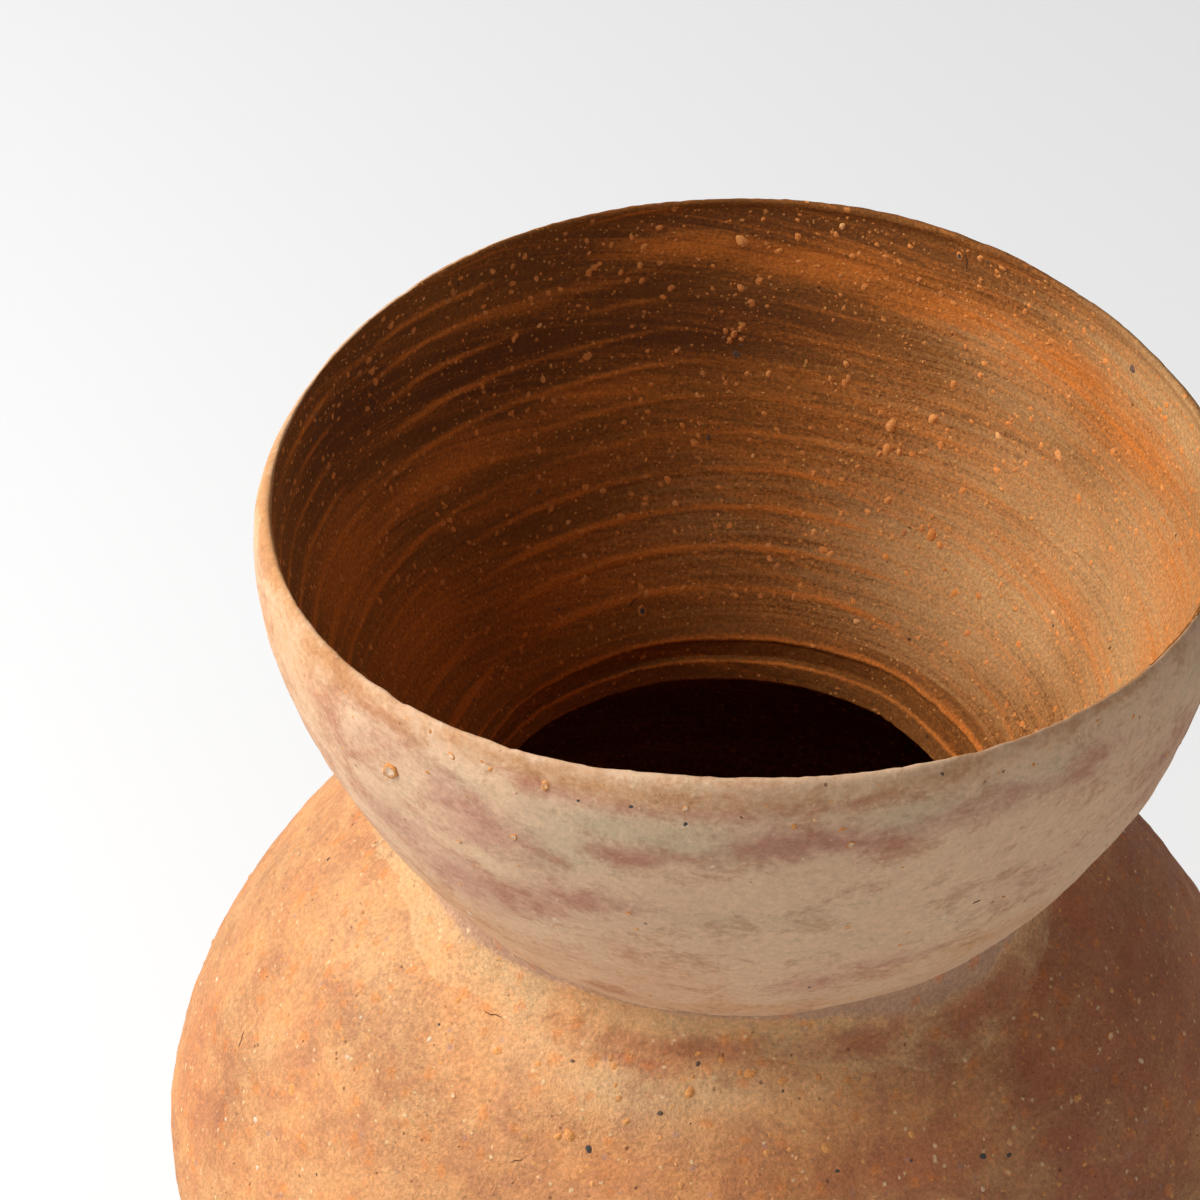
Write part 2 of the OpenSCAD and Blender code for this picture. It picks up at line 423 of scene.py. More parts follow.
def put_mesh(name, points, corners, counts, sharp=HAND_SHARP):
    """Piece from points in millimetres, corner numbers and the corner count of each face. Edges are sharp
    from an angle on, in degrees."""
    mesh = bpy.data.meshes.new(name)
    mesh.vertices.add(len(points))
    mesh.vertices.foreach_set("co", (points * MM).astype(np.float32).ravel())
    mesh.loops.add(len(corners))
    mesh.loops.foreach_set("vertex_index", corners.astype(np.int32))
    mesh.polygons.add(len(counts))
    mesh.polygons.foreach_set("loop_start", (np.cumsum(counts) - counts).astype(np.int32))
    mesh.polygons.foreach_set("use_smooth", np.ones(len(counts), bool))
    mesh.update(calc_edges=True)
    mesh.set_sharp_from_angle(angle=math.radians(sharp))
    if mesh.validate():
        raise RuntimeError(name + " has a broken mesh")
    piece = bpy.data.objects.new(name, mesh)
    bpy.context.scene.collection.objects.link(piece)
    return piece


def paint(piece, name, values):
    """Keeps a number, or four of them, for each point of a piece, for its material to read."""
    values = np.asarray(values, np.float32)
    kind, key = ("FLOAT", "value") if values.ndim == 1 else ("FLOAT_COLOR", "color")
    piece.data.attributes.new(name, kind, "POINT").data.foreach_set(key, values.ravel())


def seat(piece, node, slot, *materials):
    """Puts a finished piece in place of its solid."""
    for material in materials:
        piece.data.materials.append(material)
    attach(piece, "root")
    if node:
        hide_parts(node)


def line_inside(piece, inside):
    """Gives the faces that start at an inside point the piece's second material."""
    piece.data.polygons.foreach_set("material_index", inside.ravel().astype(np.int32))


# Steps round the axis
BOWL_STEPS, JAR_STEPS, BAND_STEPS, BASE_STEPS = 400, 460, 440, 240


def azimuths(steps):
    """Even azimuths round the axis, without the last one, which is the first."""
    return np.arange(steps) * TURN / steps


# Flame marks by hand: azimuth, height, half width in degrees, half height in millimetres, strength
BOWL_MAUVE = (
    (240, 223, 9, 7, .7), (236, 227, 7, 6, .65), (243, 206, 9, 6, .6), (234, 205, 9, 9, .7),
    (251, 212, 9, 5, .65), (258, 226, 7, 3, .75), (263, 227, 6, 2, .6), (258, 214, 12, 8, .3),
    (225, 212, 10, 9, .55), (218, 226, 9, 8, .5), (205, 215, 16, 16, .42), (212, 200, 14, 12, .4),
    (195, 228, 12, 8, .25), (224, 232, 10, 6, .45), (251, 176, 4, 2, .7), (240, 190, 20, 12, .22),
    (258, 196, 26, 14, .2), (248, 236.5, 8, 1.8, .6), (258, 236.5, 7, 1.6, .55), (268, 237, 9, 1.8, .65),
    (280, 238, 12, 1.5, .45), (275, 231, 8, 4, .85), (281, 231, 7, 3.5, .85), (286, 229, 5, 3, .6),
    (276, 220, 22, 9, .25), (293, 231, 6, 3.5, .75), (302, 231, 6, 4, .75), (313, 230, 8, 4.5, .6),
    (280, 187, 12, 4, .55), (291, 192, 10, 4, .55), (310, 205, 14, 12, .25), (335, 214, 14, 9, .6),
    (10, 220, 16, 8, .7), (40, 208, 18, 7, .6), (75, 224, 18, 7, .7), (110, 212, 18, 8, .6),
    (150, 222, 16, 7, .6), (95, 196, 20, 7, .55), (25, 192, 16, 6, .55), (185, 212, 12, 7, .5),
)
BOWL_BROWN = (
    (255, 239, 50, 2.6, .45), (300, 240, 30, 2, .45), (215, 237, 22, 3, .6), (192, 238, 24, 3, .5),
)
BOWL_GREY = (
    (265, 231, 9, 5, .8), (250, 226, 7, 9, .75), (236, 231, 6, 5, .5), (289, 233, 7, 4, .8),
    (257, 232, 10, 4, .8), (305, 233, 7, 4, .7), (270, 212, 24, 7, .4), (340, 230, 14, 6, .6),
    (60, 232, 22, 6, .7), (120, 231, 22, 6, .6), (30, 214, 14, 7, .5), (90, 210, 14, 6, .5),
    (168, 226, 12, 7, .4), (285, 200, 24, 10, .3),
)
BOWL_PEACH = (
    (190, 238, 34, 4, 1), (205, 232, 16, 20, .65), (200, 200, 16, 20, .55), (224, 188, 24, 12, .5),
    (170, 215, 24, 25, .8), (250, 239, 60, 3, .4), (85, 239, 90, 3, .5), (305, 186, 18, 8, .5),
    (268, 176, 40, 6, .4), (258, 192, 18, 12, .35),
)
INSIDE_ORANGE = (
    (98, 233, 12, 3, .8), (80, 230, 14, 4, .9), (62, 226, 14, 4, .8), (45, 224, 14, 5, .8),
    (28, 221, 16, 6, .65), (8, 213, 14, 10, .45), (113, 208, 12, 2, .7), (140, 205, 18, 4, .8),
    (165, 205, 14, 8, .9), (125, 196, 20, 3, .5), (115, 228, 16, 1.5, .5), (30, 190, 30, 4, .3),
    (350, 205, 20, 12, .6), (300, 210, 40, 8, .5), (235, 205, 30, 8, .6), (75, 195, 40, 20, .2),
    (160, 186, 22, 10, .6), (130, 180, 30, 8, .35),
)
INSIDE_TAN = (
    (35, 198, 36, 18, .8), (8, 205, 34, 26, .95), (45, 184, 34, 14, .95), (330, 200, 40, 24, .9),
    (20, 231, 30, 13, 1), (45, 214, 20, 9, .6), (50, 223, 16, 8, .8), (95, 186, 26, 10, .3),
)
INSIDE_DARK = (
    (128, 219, 30, 12, 1.35), (152, 226, 26, 16, 1.2), (100, 218, 28, 9, 1.25), (100, 236, 40, 6, 1.2),
    (112, 226, 26, 7, 1.1), (195, 215, 25, 20, .6), (130, 195, 26, 12, .5),
)
JAR_TAN = (
    (256, 158.5, 13, 3.5, 1), (270, 159.5, 12, 3, 1), (240, 159, 10, 4, .5), (286, 160.5, 9, 3, .8),
    (304, 159, 12, 3, .5), (205, 157, 16, 9, .5), (341, 160, 6, 6, .7), (225, 162, 14, 3, .2),
    (60, 158, 30, 6, .8), (130, 158, 25, 5, .7), (150, 60, 30, 12, .6), (290, 70, 26, 10, .6),
    (40, 50, 30, 9, .5),
)
JAR_RUST = (
    (260, 163.5, 22, 2.2, .8), (255, 161.5, 16, 1, .7), (290, 163, 20, 3, .7), (312, 162, 16, 6, .9),
    (294, 147, 14, 7, .6), (205, 150, 8, 5, .4), (219, 148, 8, 4, .35), (325, 152, 16, 14, .8),
    (345, 142, 22, 25, .8), (30, 140, 25, 25, .8), (195, 118, 14, 14, .35), (345, 160, 12, 8, .8),
    (120, 120, 20, 16, .7), (160, 80, 22, 12, .5), (260, 95, 26, 14, .5), (80, 70, 26, 16, .7),
    (330, 60, 26, 16, .7), (220, 50, 26, 12, .6),
)
JAR_FLAME = (
    (278, 148, 20, 6, 1), (302, 149, 12, 9, .8), (255, 149, 10, 4, .7), (244, 140, 16, 8, .5),
    (200, 116, 26, 18, .5), (218, 130, 20, 12, .35), (185, 140, 12, 14, .3), (280, 120, 36, 14, .8),
    (100, 140, 26, 16, .7), (150, 110, 24, 16, .7), (230, 80, 34, 16, .8), (20, 90, 30, 18, .6),
)
JAR_UMBER = (
    (345, 145, 22, 26, .95), (322, 135, 16, 24, 1), (304, 134, 16, 16, .7), (10, 150, 30, 30, .8),
    (50, 120, 30, 25, .7), (345, 95, 36, 26, .9), (10, 40, 40, 24, .8), (120, 40, 36, 16, .7),
)
JAR_MARKS = (JAR_RUST, JAR_TAN, JAR_FLAME, JAR_UMBER)

# Stones by hand: azimuth, height, radius, how far it stands out, tint from 0 slate over 0.5 clay to 1 white,
# and 1 for a stone that burst and left a ring. A row that stops early ends like this one
STONE_ENDS = (.5, 0)
BOWL_STONES = (
    (227, 226, 1.8, .5, 1, 1), (226, 225, .7, .45, .7), (236, 236, .8, .15, .9, 1),
    (248, 237, .9, .2, .65, 1), (258, 237, .45, .08, 0), (264, 235, .5, .08, 0), (252, 236, .35, .06, 0),
    (264, 238, .6, .12, 1, 1), (270, 237, .35, .06, .1), (282, 230, .8, .15, .95, 1),
    (278, 236, .5, .1, .7), (236, 217, .7, .12, .95, 1), (244, 224, .8, .15, .9, 1),
    (230, 189, .9, .2, 1), (247, 203, .8, .12, .95), (257, 211, .6, .12, .6, 1), (280, 185, .4, .06, 0),
    (283, 207, 1, .08, .65), (267, 226, .5, .08, .95), (296, 203, .8, .12, 1), (330, 215, .8, .15, .9, 1),
    (20, 222, .9, .2, .95, 1), (80, 200, .8, .15, 1), (130, 220, .9, .2, .9, 1), (170, 205, .7, .15, 0),
    (60, 230, .5, .08, 0), (195, 215, .8, .15, .95),
)
INSIDE_STONES = (
    (92, 216, .9, .3), (91, 217.2, .7, .25, .55), (93.2, 216.6, .7, .22), (92.6, 214.9, .8, .3, .45),
    (91, 215, .6, .2, .6), (93.4, 215.4, .5, .2, .2), (91, 234, 1.5, .5, .65), (68, 203, 1.5, .6, .6),
    (62, 206, 1.2, .5, .62), (68, 199, 1.3, .4, .55), (66, 199, .8, .4, .6), (69, 198, .7, .35, .55),
    (66, 191, 1, .35, .6), (57, 188, 1.4, .35), (55, 187, .9, .3, .55), (59, 188.5, .8, .3, .55),
    (41, 209.5, 1.2, .1, .7), (89, 195, .5, .2, .95), (76, 212, .8, .3, .65), (87, 209, .8, .3, .62),
    (78, 209, .7, .25, .6), (113, 215, 1, .25, .6, 1), (120, 213, .8, .2, .65), (102, 188, .8, .25, .75),
    (114, 192, .8, .3, .65), (120, 183, .7, .3, .9), (121, 180, .5, .2, .9), (96, 182, .5, .1, .1),
    (111, 173, 1.2, .25, 0, 1), (151, 203, .6, .12, 0, 1), (160, 230, .5, .1, 0), (129, 193, .3, .08, 0),
    (62, 237, .9, .2, 0, 1), (78, 238, .8, .35, 1), (300, 215, 1.2, .4, .6), (250, 200, 1, .35, .65),
    (205, 190, .9, .3, .6),
)
SHOULDER_STONES = (
    (224, 155, .6, .15, 1), (212, 151, .45, .12, 1), (232, 151, .7, .15, .9, 1), (214, 146, .6, .1, .95),
    (206, 127, .8, .12, 1), (210, 122, .5, .12, 1), (181, 125, .7, .12, 1), (201, 121, .5, .1, 1),
    (253, 151, .8, .25, 0), (262, 156.5, .6, .15, .05), (247, 160, .5, .1, .1), (199, 134, .45, .08, .1),
    (224, 157, .35, .08, 0), (219, 130, .35, .08, 0), (181, 154, .6, .1, .05), (250, 152, 1.2, .5),
    (248.5, 151.5, .8, .35), (266, 159, 1.1, .4), (209, 136, 1.2, .2), (235, 158, 1, .25),
    (275, 161, 1.1, .3), (280, 160, .9, .25), (290, 159, .8, .2), (285, 152, 1.2, .25),
    (297, 151, .8, .2), (276, 163, .7, .2), (310, 162, .8, .25), (308, 158.5, .6, .2),
    (322, 144.5, .8, .2), (305.5, 145, .8, .12, 0), (309, 143.5, .6, .1, 0), (286, 149, .5, .1, 0),
    (277, 152, .45, .08, 0), (296, 148, .4, .08, 0), (280, 159, .4, .08, .05),
    (332, 147, .9, .15, .85, 1), (334, 141, .8, .12, .85), (304, 141, .6, .15, .85),
    (308, 141.5, .8, .15, .8, 1), (40, 140, 1, .25, 1), (95, 130, .9, .2, 0), (140, 145, 1, .3),
    (160, 120, .8, .15, .9, 1),
)
LOWER_STONES = (
    (300, 70, 1, .25, 1), (240, 60, .9, .2, 0), (200, 80, .9, .2, .9, 1), (90, 50, 1, .25, .65),
    (20, 75, .9, .2, 0), (150, 40, .9, .2, 1),
)

# Cracks by hand: face, azimuth, height, length, slope in degrees, width
BOWL_CRACKS = (
    ("bowl_in", 148, 223, 5, 80, .35), ("bowl_in", 150, 220.5, 3, 60, .25),
    ("bowl_in", 61, 236.5, 3, 75, .35), ("bowl_in", 113, 174.5, 3, -35, .3),
    ("bowl", 300, 205, 1.4, 10, .18), ("bowl", 100, 215, 4, 20, .2),
)
JAR_CRACKS = (
    ("shoulder", 231, 161, 4, 12, .2), ("shoulder", 195.5, 131, 3, -60, .2),
    ("shoulder", 244, 147, 2.5, 30, .15), ("shoulder", 270.5, 163, 2, 80, .2),
    ("shoulder", 60, 150, 4, 15, .2), ("lower", 250, 70, 4, 30, .2),
)


# Materials

def add(tree, kind, *inputs, out=0, **named):
    """Adds one shader node and gives one of its outputs. Inputs are values or links: they go to the node's
    sockets in order or by name, and the other names are the node's own settings."""
    node = tree.nodes.new("ShaderNode" + kind)
    sockets = {socket.identifier: socket for socket in node.inputs}
    filled = list(zip(node.inputs, inputs))
    for name, value in named.items():
        if name in sockets:
            filled.append((sockets[name], value))
        else:
            setattr(node, name, value)
    for socket, value in filled:
        if isinstance(value, bpy.types.NodeSocket):
            tree.links.new(value, socket)
        else:
            socket.default_value = value
    return node.outputs[out]


def new_material(name):
    """An empty material with its node tree, its shader and the piece's own coordinates."""
    material = bpy.data.materials.new(name)
    material.use_nodes = True
    tree = material.node_tree
    return material, tree, tree.nodes["Principled BSDF"], add(tree, "TexCoord", out="Object")


def rgba(colour_value):
    """A linear colour with full cover."""
    return (*colour_value, 1)


MIX = {"data_type": "RGBA", "out": 2}  # a Mix node that mixes colours has them at its third output
MULTIPLY_ADD = {"operation": "MULTIPLY_ADD"}
PER_M = 1000  # a pattern of one millimetre repeats this often in a metre


def specks(tree, where, spacing_mm, most_mm, share):
    """Weight of uneven, soft-edged specks: some share of the cells that are spacing_mm wide hold one, of a
    radius up to most_mm."""
    widest = most_mm / spacing_mm
    wobble = add(tree, "TexNoise", where, Scale=PER_M / most_mm, Detail=2, out="Color")
    bent = add(tree, "VectorMath", wobble, (1.4 * most_mm * MM,) * 3, where, **MULTIPLY_ADD)
    cells = add(tree, "TexVoronoi", bent, Scale=PER_M / spacing_mm).node.outputs
    chance = add(tree, "SeparateColor", cells["Color"])
    wide = add(tree, "MapRange", chance, 1 - share, 1, 0, widest)
    gap = add(tree, "Math", cells["Distance"], wide, operation="SUBTRACT")
    return add(tree, "MapRange", gap, -0.5 * widest, 0, 1, 0)


def fire_clay(tree, shader, where, shade, grain_mm, contrast, depth_mm, relief):
    """Ends a clay material: sandy grain makes its colour lighter and darker and roughens it. The relief is in
    millimetres, and the grain's own part of it comes and goes in patches about 20 mm wide."""
    grains = add(tree, "TexNoise", where, Scale=PER_M / grain_mm, Detail=4, Roughness=0.78, out="Color")
    tone = add(tree, "SeparateColor", grains).node.outputs
    value = add(tree, "MapRange", tone[0], 0.3, 0.7, 1 - contrast, 1 + 0.8 * contrast)
    toned = add(tree, "HueSaturation", Color=shade, Value=value)
    rough = add(tree, "MapRange", tone[1], 0, 1, 0.9, 0.65)
    patch = add(tree, "TexNoise", where, Scale=PER_M / 20, Detail=3)
    depth = add(tree, "MapRange", patch, 0.35, 0.65, 0.4 * depth_mm, 1.4 * depth_mm)
    height = add(tree, "Math", tone[0], depth, relief, **MULTIPLY_ADD)
    bump = add(tree, "Bump", Height=height, Strength=1, Distance=MM)
    for socket, source in (("Base Color", toned), ("Roughness", rough), ("Normal", bump)):
        tree.links.new(source, shader.inputs[socket])
    shader.inputs["Specular IOR Level"].default_value = 0.25


def strew(tree, where, shade, layers):
    """Lays specks over a colour: each layer is spacing, largest radius, share, colour, cover and how far the
    specks stand out, in millimetres. Gives the colour and the relief."""
    relief = 0.0
    for spacing_mm, most_mm, share, tint, cover, rise_mm in layers:
        weight = specks(tree, where, spacing_mm, most_mm, share)
        part = add(tree, "Math", weight, cover, operation="MULTIPLY")
        shade = add(tree, "Mix", part, A_Color=shade, B_Color=rgba(linear(tint)), **MIX)
        relief = add(tree, "Math", weight, rise_mm, relief, **MULTIPLY_ADD)
    return shade, relief


def fire_weights(tree):
    """Red, pale, warm and dark weights that a piece keeps for its flame marks."""
    fire = add(tree, "Attribute", attribute_name="fire").node.outputs
    return [*add(tree, "SeparateColor", fire["Color"]).node.outputs, fire["Alpha"]]


def lay_marks(tree, shade, marks):
    """Lays flame marks over a colour: a mark begins to show where a pattern times its gain, plus a weight,
    reaches start, and from full on it has its most cover."""
    for pattern, gain, weight, mark, start, full, cover in marks:
        worn = add(tree, "Math", pattern, gain, weight, **MULTIPLY_ADD)
        factor = add(tree, "MapRange", worn, start, full, 0, cover)
        shade = add(tree, "Mix", factor, A_Color=shade, B_Color=rgba(mark), **MIX)
    return shade


def wood_fired_outside(name, base, cloud, marks, layers, grain_mm, contrast, depth_mm):
    """Unglazed stoneware, wiped by hand and wood-fired: dry and matt, with soft clouds of colour, ragged
    flame marks that drag round the form, sandy grain, pale dots of feldspar and dark pinholes. Marks are
    (channel of the piece's fire attribute, colour, most cover, width of the soft edge)."""
    material, tree, shader, where = new_material(name)
    weights = fire_weights(tree)
    # Clouds about 20 mm wide, blots about 11 mm wide, and wiping streaks 1.4 mm long by 0.9 mm high
    clouds = add(tree, "TexNoise", where, Scale=PER_M / 20, Detail=6, Roughness=0.7)
    soft = add(tree, "MapRange", clouds, 0.35, 0.65)
    shade = add(tree, "Mix", soft, A_Color=rgba(base), B_Color=rgba(cloud), **MIX)
    low = add(tree, "Mapping", where, Scale=(1, 1, 1.5))
    blots = add(tree, "TexNoise", low, Scale=PER_M / 11, Detail=6, Roughness=0.7, Distortion=0.5)
    drawn = add(tree, "Mapping", where, Scale=(1, 1, 1.6))
    streaks = add(tree, "TexNoise", drawn, Scale=PER_M / 1.4, Detail=4, Roughness=0.7)
    broad = add(tree, "Math", blots, 1.9, operation="MULTIPLY")
    ragged = add(tree, "Math", streaks, 0.8, broad, **MULTIPLY_ADD)
    half_way = 1.85  # of the ragged pattern and a weight together, where a mark covers half
    shade = lay_marks(tree, shade, [
        (ragged, 1, weights[channel], mark, half_way - edge / 2, half_way + edge / 2, cover)
        for channel, mark, cover, edge in marks])
    shade, relief = strew(tree, where, shade, layers)
    wiped = add(tree, "Math", streaks, 0.5 * depth_mm, relief, **MULTIPLY_ADD)
    fire_clay(tree, shader, where, shade, grain_mm, contrast, depth_mm, wiped)
    return material


def thrown_inside(name, brown, dark, orange, tan, layers):
    """Unglazed stoneware as thrown: a sponge and fingers drew fine level lines of iron-rich slip round the
    inside, so it shows sandy brown with thin orange and dark lines, small orange lumps of sand and a few dark
    pits."""
    material, tree, shader, where = new_material(name)
    weights = fire_weights(tree)
    # Finger lines about 0.8 mm apart and sponge bands about 5 mm wide, both running far round the bowl
    fine_map = add(tree, "Mapping", where, Scale=(12, 12, PER_M / 0.8))
    lines = add(tree, "TexNoise", fine_map, Scale=1, Detail=4, Roughness=0.75)
    band_map = add(tree, "Mapping", where, Scale=(7, 7, PER_M / 5))
    bands = add(tree, "TexNoise", band_map, Scale=1, Detail=5, Roughness=0.7)
    sandy = add(tree, "TexNoise", where, Scale=PER_M / 0.7, Detail=3, Roughness=0.8)
    banded = add(tree, "Math", bands, 0.35, operation="MULTIPLY")
    level = add(tree, "Math", lines, 0.95, banded, **MULTIPLY_ADD)
    streaks = add(tree, "Math", sandy, 0.9, level, **MULTIPLY_ADD)
    deep = add(tree, "MapRange", streaks, 0.85, 1.3, 0.2, 1)
    shade = add(tree, "Mix", deep, A_Color=rgba(dark), B_Color=rgba(brown), **MIX)
    # The orange slip was wiped on aslant, falling towards the right, in strokes 100 mm long and 1.3 mm high
    swept_map = add(tree, "Mapping", where, Rotation=(0, 0.2, 0), Scale=(0.1, 0.1, 0.0013),
                    vector_type="TEXTURE")
    swept = add(tree, "TexNoise", swept_map, Scale=1, Detail=4, Roughness=0.7)
    aslant = add(tree, "Math", sandy, 0.7, swept, **MULTIPLY_ADD)
    wiped = add(tree, "Math", aslant, 1.4, operation="MULTIPLY")
    shade = lay_marks(tree, shade, (
        (streaks, 1.2, weights[1], tan, 1.45, 2.25, 0.95), (streaks, 1.2, weights[3], dark, 1.2, 2.6, 0.95),
        (wiped, 1.2, weights[2], orange, 1.45, 2.25, 0.95)))
    shade, relief = strew(tree, where, shade, layers)
    drawn = add(tree, "Math", lines, 0.2, relief, **MULTIPLY_ADD)
    fire_clay(tree, shader, where, shade, grain_mm=0.6, contrast=0.45, depth_mm=0.2, relief=drawn)
    return material


def grit_grain(name, dark, own, pale):
    """Sand and stones in the clay, fired bare: dry and dull, each tinted from slate over its own clay to
    pale."""
    material, tree, shader, where = new_material(name)
    tint = add(tree, "Attribute", attribute_name="tint", out="Fac")
    low, high = add(tree, "MapRange", tint, 0, 0.5), add(tree, "MapRange", tint, 0.5, 1)
    shade = add(tree, "Mix", low, A_Color=rgba(dark), B_Color=rgba(own), **MIX)
    shade = add(tree, "Mix", high, A_Color=shade, B_Color=rgba(pale), **MIX)
    fire_clay(tree, shader, where, shade, grain_mm=0.5, contrast=0.35, depth_mm=0.3, relief=0.0)
    return material


def open_crack(clay):
    """Depth of a crack that opened in drying, fired dark: dull and nearly black, a little mottled."""
    material, tree, shader, where = new_material("open crack in stoneware")
    shade = rgba(clay.crack_shade)
    fire_clay(tree, shader, where, shade, grain_mm=0.4, contrast=0.5, depth_mm=0.1, relief=0.0)
    return material


def between_colours(first, second, part):
    """Colour on the way from one to another."""
    return [(1 - part) * a + part * b for a, b in zip(first, second)]


def bowl_outside_clay(clay):
    """The bowl's outside: smooth, pale clay with peach flame, grey ash, mauve streaks and a brown lip."""
    marks = ((2, clay.bowl_peach, 0.9, 0.8), (1, clay.bowl_grey, 0.85, 0.7), (0, clay.bowl_mauve, 0.85, 0.75),
             (3, clay.inside_brown, 0.65, 0.9))
    layers = ((3.2, 0.6, 0.4, "#e8c9a2", 0.5, 0.04), (1.5, 0.36, 0.5, "#ecd4b6", 0.45, 0.03),
              (2.8, 0.4, 0.3, "#6b4a3c", 0.8, -0.1))
    return bpy.data.materials.get("wood-fired stoneware bowl") or wood_fired_outside(
        "wood-fired stoneware bowl", clay.bowl_beige, clay.bowl_sand, marks, layers,
        grain_mm=1.2, contrast=0.16, depth_mm=0.14)


# Specks of the jar's coarse clay: orange flecks, pale sand, bright sand, lilac grains and pits
JAR_SPECKS = (
    (3.2, 1.7, 0.9, "#e88738", 0.4, 0.03), (1.7, 0.5, 0.6, "#f6d6a4", 0.75, 0.06),
    (2.3, 0.6, 0.5, "#f0a95c", 0.5, 0.08), (3.0, 0.8, 0.45, "#b08f8c", 0.4, 0.0),
    (1.6, 0.42, 0.22, "#7a4a2c", 0.75, -0.2),
)
JAR_GRAIN = {"grain_mm": 0.8, "contrast": 0.3, "depth_mm": 0.5}


def jar_outside_clay(clay):
    """The jar's outside: coarse orange clay with tan ash, rust and umber flame marks."""
    marks = ((2, clay.jar_flame, 0.85, 1.4), (1, clay.jar_tan, 0.9, 0.9), (3, clay.jar_umber, 0.92, 1.3),
             (0, clay.jar_rust, 0.85, 1.0))
    return bpy.data.materials.get("wood-fired stoneware jar") or wood_fired_outside(
        "wood-fired stoneware jar", clay.jar_orange, between_colours(clay.jar_orange, clay.jar_tan, 0.5),
        marks, JAR_SPECKS, **JAR_GRAIN)


def seam_outside_clay(clay):
    """The smeared seam: the jar's coarse clay, with the bowl's pale clay drawn down over it."""
    marks = ((2, clay.jar_tan, 0.9, 0.9), (3, clay.jar_umber, 0.92, 1.0), (0, clay.jar_rust, 0.85, 0.8),
             (1, between_colours(clay.bowl_beige, clay.jar_umber, 0.35), 0.95, 0.7))
    return wood_fired_outside(
        "smeared stoneware seam", clay.jar_orange, clay.jar_tan, marks, JAR_SPECKS, **JAR_GRAIN)


def inside_clay(clay):
    """The inside, as thrown, with orange lumps, orange sand and dark pits."""
    layers = ((2.4, 0.75, 0.65, "#e6924a", 0.85, 0.15), (1.1, 0.36, 0.7, "#eda75e", 0.8, 0.08),
              (3.4, 0.45, 0.35, "#38210f", 0.9, -0.15))
    return bpy.data.materials.get("thrown stoneware") or thrown_inside(
        "thrown stoneware", clay.inside_brown, clay.inside_dark, clay.inside_orange, clay.inside_tan, layers)


def add_fire(piece, shape, places, red=(), pale=(), warm=(), dark=()):
    """Keeps the flame marks of a piece: red, pale, warm and dark weights for each point, from patches or
    ready made."""
    flat = places.reshape(-1, 3)
    extra = np.zeros((len(piece.data.vertices) - len(flat), 4))
    weights = [np.ravel(w) if isinstance(w, np.ndarray) else patches(shape, flat, w)
               for w in (red, pale, warm, dark)]
    paint(piece, "fire", np.concatenate([np.stack(weights, -1), extra]))


# Where a stone broke out of the lip, and half the width of its gap
CHIP_AT, CHIP_HALF = math.radians(60), math.radians(1.2)
# Where the brown of the inside reaches least far over the crown, and where the rings' slip is thickest
BROWN_LEAST_AT, SLIP_AT = math.radians(225), math.radians(190)


